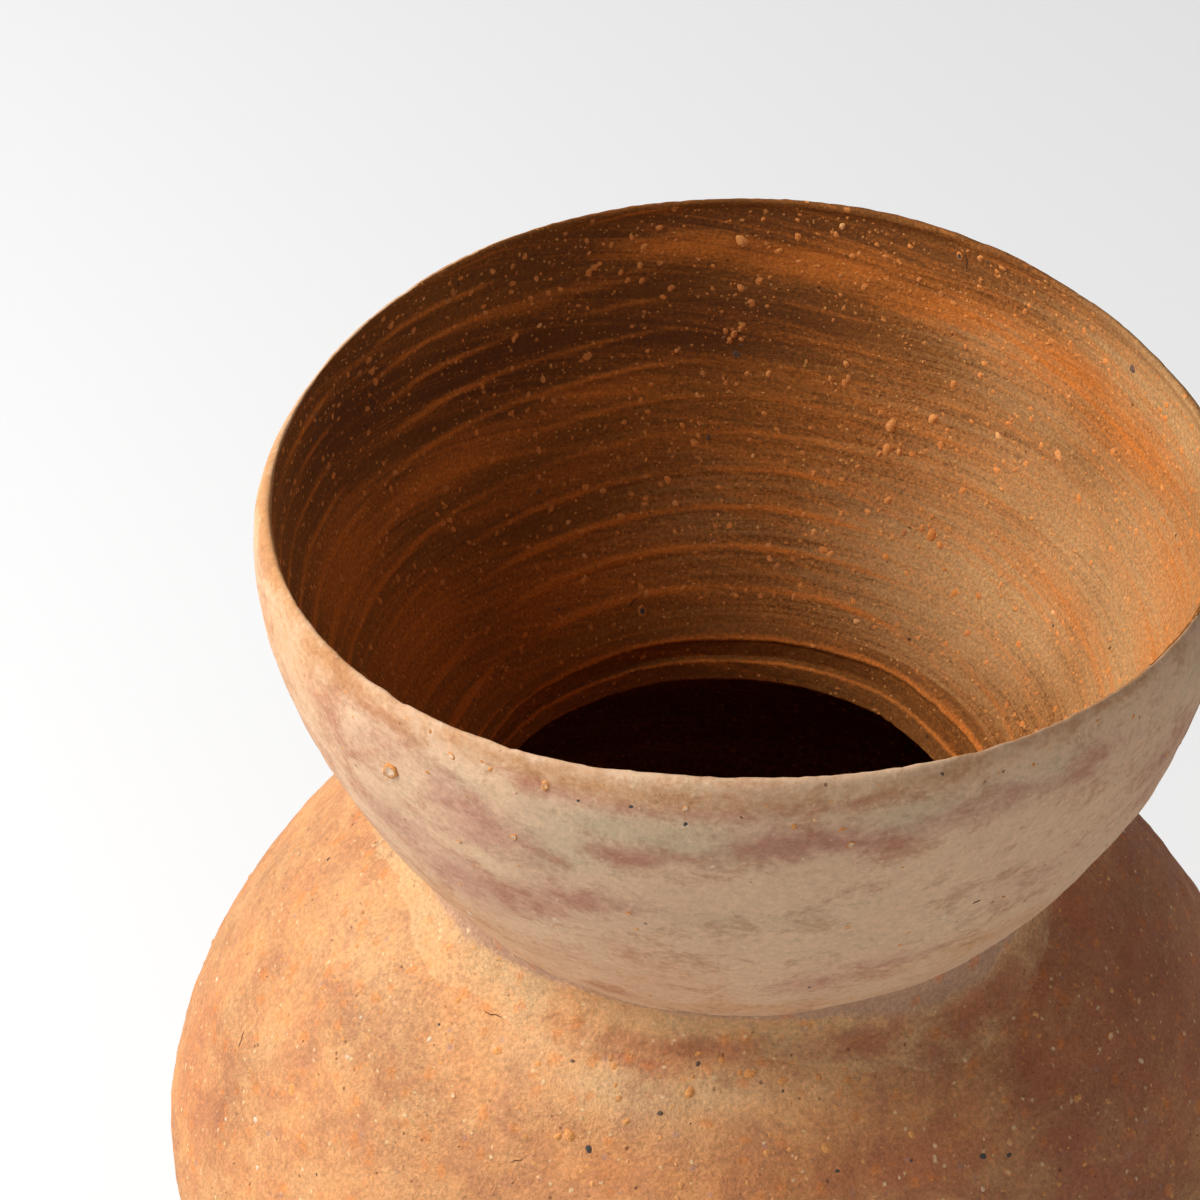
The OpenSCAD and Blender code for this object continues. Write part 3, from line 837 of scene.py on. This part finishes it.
class VASE_OT_bowl(bpy.types.Operator):
    """Flared mouth bowl with its thin lip."""

    bl_idname = "vase.bowl"
    bl_label = "Mouth bowl"

    def execute(self, context):
        shape, clay = context.scene.vase_shape, context.scene.vase_clay
        rows_out, rows_in = 54, 180
        phi = azimuths(BOWL_STEPS)
        outer, _ = face(shape, "bowl", np.linspace(0, 1, rows_out)[:, None], phi)
        t_in = np.linspace(1, 0, rows_in)[:, None]
        inner, _ = face(shape, "bowl_in", t_in, phi)
        # The crown is half of an ellipse on the lip's own slope, from its outer edge to its inner one
        lip_mid, half = outlines(shape)["lip_mid"], shape.lip_t / MM / 2
        across, along = heading(LIP_LEAN), heading(90 + LIP_LEAN)
        turn = np.radians(np.linspace(0, 180, 14)[1:-1])[:, None]
        wide = half * (1 - LIP_THIN)
        crown_mid = lip_mid + (half - wide) * across
        flat = (crown_mid + wide * np.cos(turn)[..., None] * across
                + 0.8 * half * np.sin(turn)[..., None] * along)
        ring = spin(flat, phi)
        out = spin(np.cos(turn)[..., None] * across + np.sin(turn)[..., None] * along, phi)
        part = turn / math.pi
        marks = (1 - part) * outside_marks(ring, phi, BOWL_COARSE) + part * inside_marks(ring, phi)
        # The lip's crown: one chip and smaller nicks all round, deepest along its top
        chip = 0.9 * np.exp(-((phi - CHIP_AT) / CHIP_HALF) ** 2)
        chip = chip + 0.3 * np.clip(ripple(ring, 7, 21) - 1, 0, 1) + 0.05 * ripple(ring, 2.5, 22)
        marks = marks - chip * np.sin(math.pi * part)
        lip = set_over(shape, ring + marks[..., None] * out)
        places = np.concatenate([outer, lip, inner])
        piece = skin("mouth_bowl_skin", places)
        # The brown of the inside comes over the crown at the back and stops inside it at the front left
        brown_from = 0.45 + 0.42 * np.cos(phi - BROWN_LEAST_AT)
        brown = part > brown_from
        slip_side = np.cos(phi - SLIP_AT)
        rings = finger_rings(spin(section(shape, "bowl_in", t_in)[0], phi), phi,
                             SLIP_WIDTH + SLIP_WIDTH_CHANGE * slip_side)
        crown = np.concatenate([outer, lip])
        within = np.concatenate([np.zeros(outer.shape[:2], bool), brown])
        weights = []
        for under, over in ((BOWL_MAUVE, ()), (BOWL_GREY, INSIDE_TAN), (BOWL_PEACH, INSIDE_ORANGE),
                            (BOWL_BROWN, INSIDE_DARK)):
            on_crown = np.where(within, patches(shape, crown, over), patches(shape, crown, under))
            weights.append(np.concatenate([on_crown, patches(shape, inner, over)]))
        weights[2][len(crown):] = np.maximum(weights[2][len(crown):], (1.5 + 0.4 * slip_side) * rings)
        weights[3][len(outer):len(crown)] += np.where(brown, 0, smooth((part - brown_from) / 0.4 + 0.6))
        add_fire(piece, shape, places, *weights)
        inside = np.concatenate([within, np.ones(inner.shape[:2], bool)])
        seat(piece, "mouth_bowl", "bowl_clay", bowl_outside_clay(clay), inside_clay(clay))
        line_inside(piece, inside)
        return {"FINISHED"}


class VASE_OT_jar(bpy.types.Operator):
    """Shoulder and lower wall of the jar."""

    bl_idname = "vase.jar"
    bl_label = "Jar walls"

    def execute(self, context):
        shape, clay = context.scene.vase_shape, context.scene.vase_clay
        for name, node, rows_out in (("shoulder", "shoulder_wall", 150), ("lower", "lower_wall", 110)):
            phi = azimuths(JAR_STEPS)
            outer, _ = face(shape, name, np.linspace(0, 1, rows_out)[:, None], phi)
            inner, _ = face(shape, name + "_in", np.linspace(1, 0, 40)[:, None], phi)
            rows = [outer, inner]
            if name == "lower":
                rows.append(spin(floor_corner(shape)[None, None], phi))
            places = np.concatenate(rows)
            piece = skin(node + "_skin", places)
            add_fire(piece, shape, places, *JAR_MARKS)
            inside = np.zeros(places.shape[:2], bool)
            inside[rows_out:] = True
            seat(piece, node, "jar_clay", jar_outside_clay(clay), inside_clay(clay))
            line_inside(piece, inside)
        return {"FINISHED"}


def loop_skin(shape, name, outline, steps, marks=None):
    """Ring from a closed outline [rows, 2], moved by the marks and set over with the bowl."""
    places = spin(outline[:, None, :], azimuths(steps))
    if marks:
        places = places + marks(places)
    places = set_over(shape, places)
    return skin(name, places), places


def rounded(corner, radius, start, end, count=7):
    """Round stretch about a centre, from one angle to another in degrees."""
    a = np.radians(np.linspace(start, end, count))
    return corner + radius * np.stack([np.cos(a), np.sin(a)], -1)


def between(a, b, count):
    """Even steps from a to b, without b."""
    return a + (b - a) * (np.arange(count) / count)[:, None]


RIDGE_R = 0.6  # millimetres, radius that rounds the throat's ridges
CRACK_AT = 95  # degrees, of the crack through the throat's collar


class VASE_OT_throat(bpy.types.Operator):
    """Collar and coil that line the throat."""

    bl_idname = "vase.throat"
    bl_label = "Throat rings"

    def execute(self, context):
        shape, clay = context.scene.vase_shape, context.scene.vase_clay
        lines = outlines(shape)
        way = heading(90 - BOWL_LEAN)
        r = RIDGE_R
        crease = lines["bowl"][0]
        bowl_foot = crease + shape.bowl_t / MM * inward(lines["bowl"], 0.0)
        ridge = bowl_foot - shape.collar_reach / MM * way
        waist = ridge - point(0, shape.collar_h / MM)
        coil_ridge = waist - point(shape.ridge_w / MM, 0)
        shoulder_foot = crease + shape.wall_t / MM * inward(lines["shoulder"], 1.0)
        edge = point(coil_ridge[0] - shape.throat_w / MM, shoulder_foot[1])
        split = crease + shape.collar_seat / MM * inward(lines["shoulder"], 1.0)
        back = point(-way[1], way[0])
        collar_round = rounded(ridge - r * back, r, 180 - BOWL_LEAN, 270 - BOWL_LEAN)
        collar = np.concatenate([
            between(split, crease, 4), between(crease, bowl_foot, 6), between(bowl_foot, collar_round[0], 5),
            collar_round, between(collar_round[-1], waist, 8)[1:], between(waist, split, 6)])
        low_round = rounded(edge + point(r, r), r, 180, 270)
        high_round = rounded(coil_ridge + point(r, -r), r, 90, 180)
        coil = np.concatenate([
            between(shoulder_foot, split, 4), between(split, waist, 6), between(waist, high_round[0], 4),
            high_round, between(high_round[-1], low_round[0], 8)[1:],
            low_round, between(low_round[-1], shoulder_foot, 6)[1:]])
        edges = np.stack([ridge, coil_ridge, edge])

        def pressed(places):
            """Finger marks: the free edge moves to and from the axis, most where it stands furthest in."""
            inner = np.hypot(places[..., 0], places[..., 1])
            free = smooth((bowl_foot[0] - inner) / 1.5)
            lumps = ripples(places, (0.16, 22, 31), (0.06, 6, 32), (0.04, 2.5, 33))
            towards = -places * np.array([1, 1, 0]) / inner[..., None]
            return (free * lumps)[..., None] * towards

        for name, outline in (("throat_collar", collar), ("throat_coil", coil)):
            piece, places = loop_skin(shape, name + "_skin", outline, BOWL_STEPS, pressed)
            # Orange slip on the edges and dark clay between them
            near = np.exp(-(np.linalg.norm(outline[:, None] - edges, axis=-1).min(1) / 0.5) ** 2)
            warm = near[:, None] * (0.9 + 0.25 * ripple(places, 20, 34))
            dark = np.broadcast_to(0.3 * (1 - near)[:, None], warm.shape)
            add_fire(piece, shape, places, (), (), warm, dark)
            seat(piece, name, "seam_clay", inside_clay(clay))

        down = np.linspace(0.1, 1, 8)[:, None]
        azimuth = math.radians(CRACK_AT) + 0.012 * np.sin(6 * down[:, 0])
        drop = down * (coil_ridge - ridge) * point(0, 1)
        path = set_over(shape, spin(ridge + drop + point(0.2, 0), azimuth))
        inwards = -spin(np.broadcast_to(point(1, 0), (8, 2)), azimuth)
        piece = ribbons("throat_crack", path[None], inwards[None], np.array([0.5]), THROAT_CRACK_LIFT)
        seat(piece, None, "seam_clay", open_crack(clay))
        return {"FINISHED"}


# Where the band is smeared widest, and where the bowl's pale clay is drawn down at the left: azimuth and half
# width in degrees
BAND_WIDE, BAND_PALE = (312, 32), (215, 22)
BAND_SUNK, BAND_EDGE_SUNK = 0.4, 0.12  # millimetres, depth of the band's back and of its edges in the walls


class VASE_OT_band(bpy.types.Operator):
    """Clay smeared into the crease between bowl and shoulder."""

    bl_idname = "vase.band"
    bl_label = "Neck band"

    def execute(self, context):
        shape, clay = context.scene.vase_shape, context.scene.vase_clay
        phi = azimuths(BAND_STEPS)
        crease = outlines(shape)["bowl"][0]
        ring = spin(crease, phi)
        # Uneven edges on the shoulder and on the bowl, as curve positions
        right, left = bell(phi, *BAND_WIDE), bell(phi, *BAND_PALE)
        drop = shape.band_drop / MM + 4 * right + ripples(ring, (1.2, 30, 43), (0.5, 9, 44))
        rise = shape.band_rise / MM + 2 * right + ripples(ring, (0.6, 26, 45), (0.3, 8, 46))
        low, high = 1 - drop / (3 * NECK_PULL), rise / (3 * BOWL_PULL)
        half = heading(90 - BOWL_LEAN) + heading(-NECK_LEAN)
        half = half / np.linalg.norm(half)
        out = spin(np.broadcast_to(half, phi.shape + (2,)), phi)
        start, start_out = face(shape, "shoulder", low, phi)
        end, end_out = face(shape, "bowl", high, phi)
        start, end = start - BAND_EDGE_SUNK * start_out, end - BAND_EDGE_SUNK * end_out
        fill = (shape.band_fill / MM + 1.6 * right)[:, None]
        pull = set_over(shape, spin(crease + fill * half, phi))
        t = np.linspace(0, 1, 24)[:, None, None]
        outside = curve(start, pull, end, t)
        # Thumb strokes: the outer face swells a little, and not at its edges
        strokes = ripples(outside, (0.16, 16, 41), (0.12, 5, 42), (0.06, 2.5, 47))
        swell = np.sin(math.pi * t[..., 0]) * strokes
        outside = outside + swell[..., None] * out
        up = np.linspace(1, 0, 7)[:-1, None] * high
        on_bowl, bowl_out = face(shape, "bowl", up, phi)
        down = 1 - np.linspace(0, 1, 9)[:-1, None] * (1 - low)
        on_shoulder, shoulder_out = face(shape, "shoulder", down, phi)
        places = np.concatenate([
            outside, on_bowl - BAND_SUNK * bowl_out, on_shoulder - BAND_SUNK * shoulder_out])
        piece = skin("neck_band_skin", places)
        # Its upper edge is the bowl's own pale clay, drawn down furthest at the right, less far at the left
        pale = np.zeros(places.shape[:2])
        pale[:len(t)] = smooth((t[..., 0] - 0.8 + 0.4 * right + 0.3 * left) / 0.3)
        bare = 1 - pale
        add_fire(piece, shape, places, patches(shape, places, JAR_RUST) * bare, 1.1 * pale,
                 patches(shape, places, JAR_TAN), patches(shape, places, JAR_UMBER) * bare)
        seat(piece, "neck_band", "seam_clay", seam_outside_clay(clay))
        return {"FINISHED"}


class VASE_OT_base(bpy.types.Operator):
    """Floor slab and the coils pressed over the inner seams."""

    bl_idname = "vase.base"
    bl_label = "Base and inner coils"

    def execute(self, context):
        shape, clay = context.scene.vase_shape, context.scene.vase_clay
        lines = outlines(shape)
        phi = azimuths(BASE_STEPS)
        edge = at(lines["slab"], np.linspace(0, 1, 12))
        foot = np.stack([np.linspace(4, edge[0, 0], 14)[:-1], np.zeros(13)], -1)
        top = np.stack([np.linspace(edge[-1, 0], 4, 10)[1:], np.full(9, FLOOR_H)], -1)
        places = spin(np.concatenate([foot, edge, top])[:, None, :], phi)
        piece = skin("base_slab_skin", places, closed=False)
        add_fire(piece, shape, places, *JAR_MARKS)
        seat(piece, "base_slab", "jar_clay", jar_outside_clay(clay))

        def pinched(places):
            """Finger dents pressed one beside the other round a soft coil, towards the axis."""
            out = places * np.array([1, 1, 0]) / np.hypot(places[..., 0], places[..., 1])[..., None]
            return (0.1 * ripple(places, 12, 51))[..., None] * out

        corner = floor_corner(shape)
        wall_end = lines["lower"][0] + shape.wall_t / MM * inward(lines["lower"], 0.0)
        floor_end = corner - point(shape.base_coil_w / MM, 0)
        t = np.linspace(0, 1, 10)[:, None]
        outline = np.concatenate([corner[None], curve(wall_end, corner, floor_end, t)])
        piece, places = loop_skin(shape, "base_coil_skin", outline, BASE_STEPS)
        add_fire(piece, shape, places)
        seat(piece, "base_coil", "seam_clay", inside_clay(clay))
        half = shape.belly_coil_w / MM / 2
        low, high = 1 - half / (3 * BELLY_PULL), half / (3 * SHOULDER_PULL)
        t_low, t_high = np.linspace(low, 1, 8)[:-1], np.linspace(0, high, 8)
        wall = shape.wall_t / MM
        against = np.concatenate([at(lines["lower"], t_low) + wall * inward(lines["lower"], t_low),
                                  at(lines["shoulder"], t_high) + wall * inward(lines["shoulder"], t_high)])
        pull = point(shape.belly_r / MM - wall - 2 * shape.belly_coil_t / MM, BELLY_H)
        t = np.linspace(0, 1, 14)[1:-1, None]
        outline = np.concatenate([against, curve(against[-1], pull, against[0], t)])
        piece, places = loop_skin(shape, "belly_coil_skin", outline, BASE_STEPS, pinched)
        add_fire(piece, shape, places)
        seat(piece, "belly_coil", "seam_clay", inside_clay(clay))
        return {"FINISHED"}


def beside(shape, surface, t, phi, across, up):
    """Places and outward steps beside a spot of a face, at distances in millimetres across and up the face:
    the one is turned into azimuth by the radius, the other into curve position by the curve's speed."""
    line = outlines(shape)[surface.split("_")[0]]
    speed = np.linalg.norm(at(line, t + 0.01) - at(line, t - 0.01), axis=-1) / 0.02
    return face(shape, surface, np.clip(t + up / speed, 0, 1), phi + across / at(line, t)[..., 0])


# Millimetres: height of the flat heart of a burst stone, and depth of a stone's edge and of its underside
HEART_RISE, EDGE_SUNK, UNDER_SUNK = 0.08, 0.1, 0.2


def heap(shape, name, surface, spots, seed):
    """Stones that stand out of a face, from rows of curve position, azimuth, radius, height, tint and burst:
    over ring q and sector a, each is a bell of height (1 - q squared) squared on an uneven round of radius
    q, and a burst stone is a flat heart in a raised ring. The outer edge is sunk a little."""
    t, phi, size, tall, tint, burst = spots.T
    draw = np.random.default_rng(seed)
    count, sectors = len(t), 8
    a = np.arange(sectors) * TURN / sectors
    q = np.array([0.35, 0.7, 1.0])
    uneven = 1 + 0.2 * np.sin(2 * a + draw.uniform(0, TURN, (count, 1))) + 0.1 * np.sin(
        3 * a + draw.uniform(0, TURN, (count, 1)))
    spread = size[:, None, None] * q[:, None] * uneven[:, None, :]
    places, steps = beside(
        shape, surface, t[:, None, None], phi[:, None, None], spread * np.cos(a), spread * np.sin(a))
    dome = tall[:, None] * (1 - q ** 2) ** 2
    ring_wall = np.stack([0 * tall + HEART_RISE, tall, 0 * tall], -1)
    rise = np.where(burst[:, None] > 0, ring_wall, dome) - EDGE_SUNK * (q == 1)
    rings = places + rise[..., None, None] * steps
    top, out = face(shape, surface, t, phi)
    top = top + np.where(burst > 0, HEART_RISE, tall)[:, None] * out
    low = rings[:, -1].mean(1) - UNDER_SUNK * out
    points = np.concatenate([top[:, None], low[:, None], rings.reshape(count, -1, 3)], 1)
    ring, after = np.arange(sectors), (np.arange(sectors) + 1) % sectors
    # Points of a stone: its top, its underside's middle, and three rings
    first, second, third = 2 + sectors * np.arange(len(q))
    fans = np.concatenate([np.stack([0 * ring, first + ring, first + after], -1),
                           np.stack([0 * ring + 1, third + after, third + ring], -1)])
    quads = first + quads_of(len(q), sectors)[:, FLIPPED]
    if surface.endswith("in"):
        fans, quads = fans[:, ::-1], quads[:, ::-1]
    start = (np.arange(count) * points.shape[1])[:, None]
    fan_corners, quad_corners = (fans.ravel() + start).ravel(), (quads.ravel() + start).ravel()
    counts = np.concatenate([np.full(len(fan_corners) // 3, 3), np.full(len(quad_corners) // 4, 4)])
    piece = put_mesh(name, points.reshape(-1, 3), np.concatenate([fan_corners, quad_corners]), counts,
                     STONE_SHARP)
    tints = np.repeat(tint[:, None], points.shape[1], 1)
    tints[:, second:] = np.where(burst[:, None] > 0, 0.5, tints[:, second:])
    paint(piece, "tint", tints.ravel())
    return piece


# Millimetres: how far a crack's dark lens stands out of a face and of the throat's collar, and its depth
CRACK_LIFT, THROAT_CRACK_LIFT, CRACK_SUNK = 0.12, 0.25, 0.3


def ribbons(name, paths, outs, widths, lift):
    """Thin closed lenses along paths [cracks, stations, 3]: left, top, right and bottom corners at each
    station, which narrow towards the ends, with the top lifted out of the face and the bottom sunk."""
    count, stations = paths.shape[:2]
    along = np.gradient(paths, axis=1)
    side = np.cross(outs, along)
    side = side / np.linalg.norm(side, axis=-1, keepdims=True)
    s = np.linspace(-1, 1, stations)[:, None]
    half = widths[:, None, None] / 2 * (1 - 0.85 * s * s)
    corners = np.stack([paths - half * side + 0.5 * lift * outs, paths + lift * outs,
                        paths + half * side + 0.5 * lift * outs, paths - CRACK_SUNK * outs], 2)
    quads = quads_of(stations, 4)[:, FLIPPED]
    last = stations * 4 - 4
    quads = np.concatenate([quads, [[0, 1, 2, 3], [last + 3, last + 2, last + 1, last]]])
    numbers = (quads.ravel() + (np.arange(count) * stations * 4)[:, None]).ravel()
    return put_mesh(name, corners.reshape(-1, 3), numbers, np.full(len(numbers) // 4, 4))


def cracks(shape, name, rows):
    """Open cracks on the faces: each path runs over s from -1 to 1 along its slope and wanders to the sides
    by two sines."""
    s = np.linspace(-1, 1, 9)
    paths, outs = [], []
    for number, (surface, azimuth, height, long, slope, _) in enumerate(rows):
        t, phi = settle(shape, surface, azimuth, height)
        wander = 0.035 * long * (np.sin(5 * s + number) + 0.6 * np.sin(11 * s + 2 * number))
        tilt = math.radians(slope)
        across = 0.5 * long * s * math.cos(tilt) - wander * math.sin(tilt)
        up = 0.5 * long * s * math.sin(tilt) + wander * math.cos(tilt)
        path, out = beside(shape, surface, t, phi, across, up)
        paths.append(path)
        outs.append(out)
    return ribbons(name, np.stack(paths), np.stack(outs), np.array([row[5] for row in rows]), CRACK_LIFT)


class VASE_OT_grit(bpy.types.Operator):
    """Stones, coarse sand and cracks that the throwing, the wiping and the fire brought to the surface."""

    bl_idname = "vase.grit"
    bl_label = "Grit and cracks"

    def execute(self, context):
        shape, clay = context.scene.vase_shape, context.scene.vase_clay
        draw = np.random.default_rng(7)
        white, slate = clay.stone_white, clay.stone_slate
        inside = grit_grain("sandy stoneware grit", slate, linear("#e38b42"), linear("#efb172"))
        outside = grit_grain("pale stoneware grit", slate, linear("#e39a58"), white)
        jar = grit_grain("rusty stoneware grit", slate, linear("#e69f5c"), white)
        # Of each face: how many grains, their span along the curve, least and largest radius, and flatness
        for name, surface, slot, placed, material, seed, count, span, sizes, flatness in (
                ("grit_inside", "bowl_in", "bowl_clay", INSIDE_STONES, inside, 61,
                 3200, (0.03, 0.98), (0.2, 1.0), (0.12, 0.28)),
                ("grit_bowl", "bowl", "bowl_clay", BOWL_STONES, outside, 62,
                 260, (0.08, 0.98), (0.25, 0.7), (0.1, 0.22)),
                ("grit_shoulder", "shoulder", "jar_clay", SHOULDER_STONES, jar, 63,
                 1700, (0.02, 0.96), (0.22, 0.8), (0.15, 0.35)),
                ("grit_lower", "lower", "jar_clay", LOWER_STONES, jar, 64,
                 1000, (0.05, 0.99), (0.22, 0.8), (0.15, 0.35))):
            size = sizes[0] * (sizes[1] / sizes[0]) ** (draw.uniform(0, 1, count) ** 2.2)
            tint = np.clip(0.5 + 0.07 * draw.normal(size=count), 0, 1)
            odd = draw.uniform(0, 1, count)
            tint = np.where(odd < 0.02, 0.05, np.where(odd > 0.98, 0.9, tint))
            strewn = np.stack([draw.uniform(*span, count), draw.uniform(0, TURN, count), size,
                               size * draw.uniform(*flatness, count), tint, 0 * size], -1)
            rows = np.array([row + STONE_ENDS[len(row) - 4:] for row in placed])
            rows[:, 0], rows[:, 1] = settle(shape, surface, rows[:, 0], rows[:, 1])
            piece = heap(shape, name, surface, np.concatenate([strewn, rows]), seed)
            seat(piece, None, slot, material)
        depth = open_crack(clay)
        seat(cracks(shape, "cracks_bowl", BOWL_CRACKS), None, "bowl_clay", depth)
        seat(cracks(shape, "cracks_jar", JAR_CRACKS), None, "jar_clay", depth)
        return {"FINISHED"}


PAPER_GLOW = 0.36  # how much of the paper's white is its own, seen directly


def seen_directly(tree):
    """1 for what the camera sees directly, in a reflection or through glass, and 0 for light on the vase."""
    path = add(tree, "LightPath").node.outputs
    either = add(tree, "Math", path["Is Camera Ray"], path["Is Glossy Ray"], operation="MAXIMUM")
    return add(tree, "Math", either, path["Is Transmission Ray"], operation="MAXIMUM")


FLOOR_HALF = 12  # metres, half the floor's width
LAMP_AIM, LAMP_AWAY, LAMP_SIDE = (0, 0, 0.18), 1.3, 0.8  # metres: where lamps point, their distance and width


class VASE_OT_studio(bpy.types.Operator):
    """Floor, light and camera."""

    bl_idname = "vase.studio"
    bl_label = "Studio"

    def execute(self, context):
        scene, studio = context.scene, context.scene.vase_studio
        scene.view_settings.view_transform = "Standard"
        mesh = bpy.data.meshes.new("floor")
        corners = [(x * FLOOR_HALF, y * FLOOR_HALF, 0) for x, y in ((-1, -1), (1, -1), (1, 1), (-1, 1))]
        mesh.from_pydata(corners, [], [(0, 1, 2, 3)])
        floor = bpy.data.objects.new("floor", mesh)
        scene.collection.objects.link(floor)
        # Matt white paper: it takes the vase's shadow near the foot and runs out to plain white 3 m away
        paper, tree, shader, where = new_material("matt paper floor")
        away = add(tree, "VectorMath", where, operation="LENGTH", out="Value")
        glow = add(tree, "MapRange", away, 0.8, 3, PAPER_GLOW)
        direct = seen_directly(tree)
        lit = add(tree, "Math", glow, direct, operation="MULTIPLY")
        white = add(tree, "MapRange", direct, 0, 1, 0.8, 0.6)
        tree.links.new(white, shader.inputs["Base Color"])
        shader.inputs["Roughness"].default_value = 0.9
        shader.inputs["Emission Color"].default_value = (1, 1, 1, 1)
        tree.links.new(lit, shader.inputs["Emission Strength"])
        mesh.materials.append(paper)
        world = bpy.data.worlds.new("room")
        scene.world = world
        world.use_nodes = True
        room = world.node_tree
        level = add(room, "MapRange", seen_directly(room), 0, 1, studio.fill)
        room.links.new(level, room.nodes["Background"].inputs["Strength"])
        room.nodes["Background"].inputs["Color"].default_value = (1, 1, 1, 1)
        for name, azimuth, height, power in (("soft box", 180, 40, studio.key_power),
                                             ("front card", 270, 15, studio.front_power),
                                             ("right card", 0, 15, studio.right_power)):
            a, h = math.radians(azimuth), math.radians(height)
            way = Vector((math.cos(a) * math.cos(h), math.sin(a) * math.cos(h), math.sin(h)))
            lamp = bpy.data.lights.new(name, "AREA")
            lamp.shape, lamp.size, lamp.energy = "SQUARE", LAMP_SIDE, power
            stand = bpy.data.objects.new(name, lamp)
            scene.collection.objects.link(stand)
            stand.location = Vector(LAMP_AIM) + LAMP_AWAY * way
            stand.rotation_euler = (-way).to_track_quat("-Z", "Y").to_euler()
        data = bpy.data.cameras.new("camera")
        data.lens, data.sensor_width = studio.lens, 36
        data.clip_start, data.clip_end = 0.05, 30
        camera = bpy.data.objects.new("camera", data)
        scene.collection.objects.link(camera)
        place = (studio.camera_side, -studio.camera_back, studio.camera_up)
        camera.matrix_world = Matrix.Translation(place)
        for angle_value, axis in ((studio.camera_pan, "Z"), (math.pi / 2 - studio.camera_tilt, "X"),
                                  (-studio.camera_roll, "Z")):
            camera.matrix_world = camera.matrix_world @ Matrix.Rotation(angle_value, 4, axis)
        scene.camera = camera
        return {"FINISHED"}


OPERATORS = (
    VASE_OT_studio, VASE_OT_bowl, VASE_OT_throat, VASE_OT_band, VASE_OT_jar, VASE_OT_base, VASE_OT_grit)


class VASE_PT_panel(bpy.types.Panel):
    """Lists the vase's pieces and their sizes."""

    bl_idname = "VASE_PT_panel"
    bl_label = "Stoneware vase"
    bl_space_type = "VIEW_3D"
    bl_region_type = "UI"
    bl_category = "Vase"

    def draw(self, context):
        column = self.layout.column()
        for operator in OPERATORS:
            column.operator(operator.bl_idname)
        for group in (context.scene.vase_shape, context.scene.vase_clay, context.scene.vase_studio):
            for name in group.__annotations__:
                column.prop(group, name)


CLASSES = (VaseShape, VaseClay, VaseStudio, *OPERATORS, VASE_PT_panel)


def register():
    """Makes the sizes, colours, operators and panel known to Blender."""
    for cls in CLASSES:
        bpy.utils.register_class(cls)
    bpy.types.Scene.vase_shape = PointerProperty(type=VaseShape)
    bpy.types.Scene.vase_clay = PointerProperty(type=VaseClay)
    bpy.types.Scene.vase_studio = PointerProperty(type=VaseStudio)


def unregister():
    """Takes them out again."""
    del bpy.types.Scene.vase_shape, bpy.types.Scene.vase_clay, bpy.types.Scene.vase_studio
    for cls in reversed(CLASSES):
        bpy.utils.unregister_class(cls)


def main():
    """Builds the vase and its studio."""
    register()
    bpy.ops.vase.studio()
    bpy.ops.vase.bowl()
    bpy.ops.vase.throat()
    bpy.ops.vase.band()
    bpy.ops.vase.jar()
    bpy.ops.vase.base()
    bpy.ops.vase.grit()


if __name__ == "__main__":
    main()
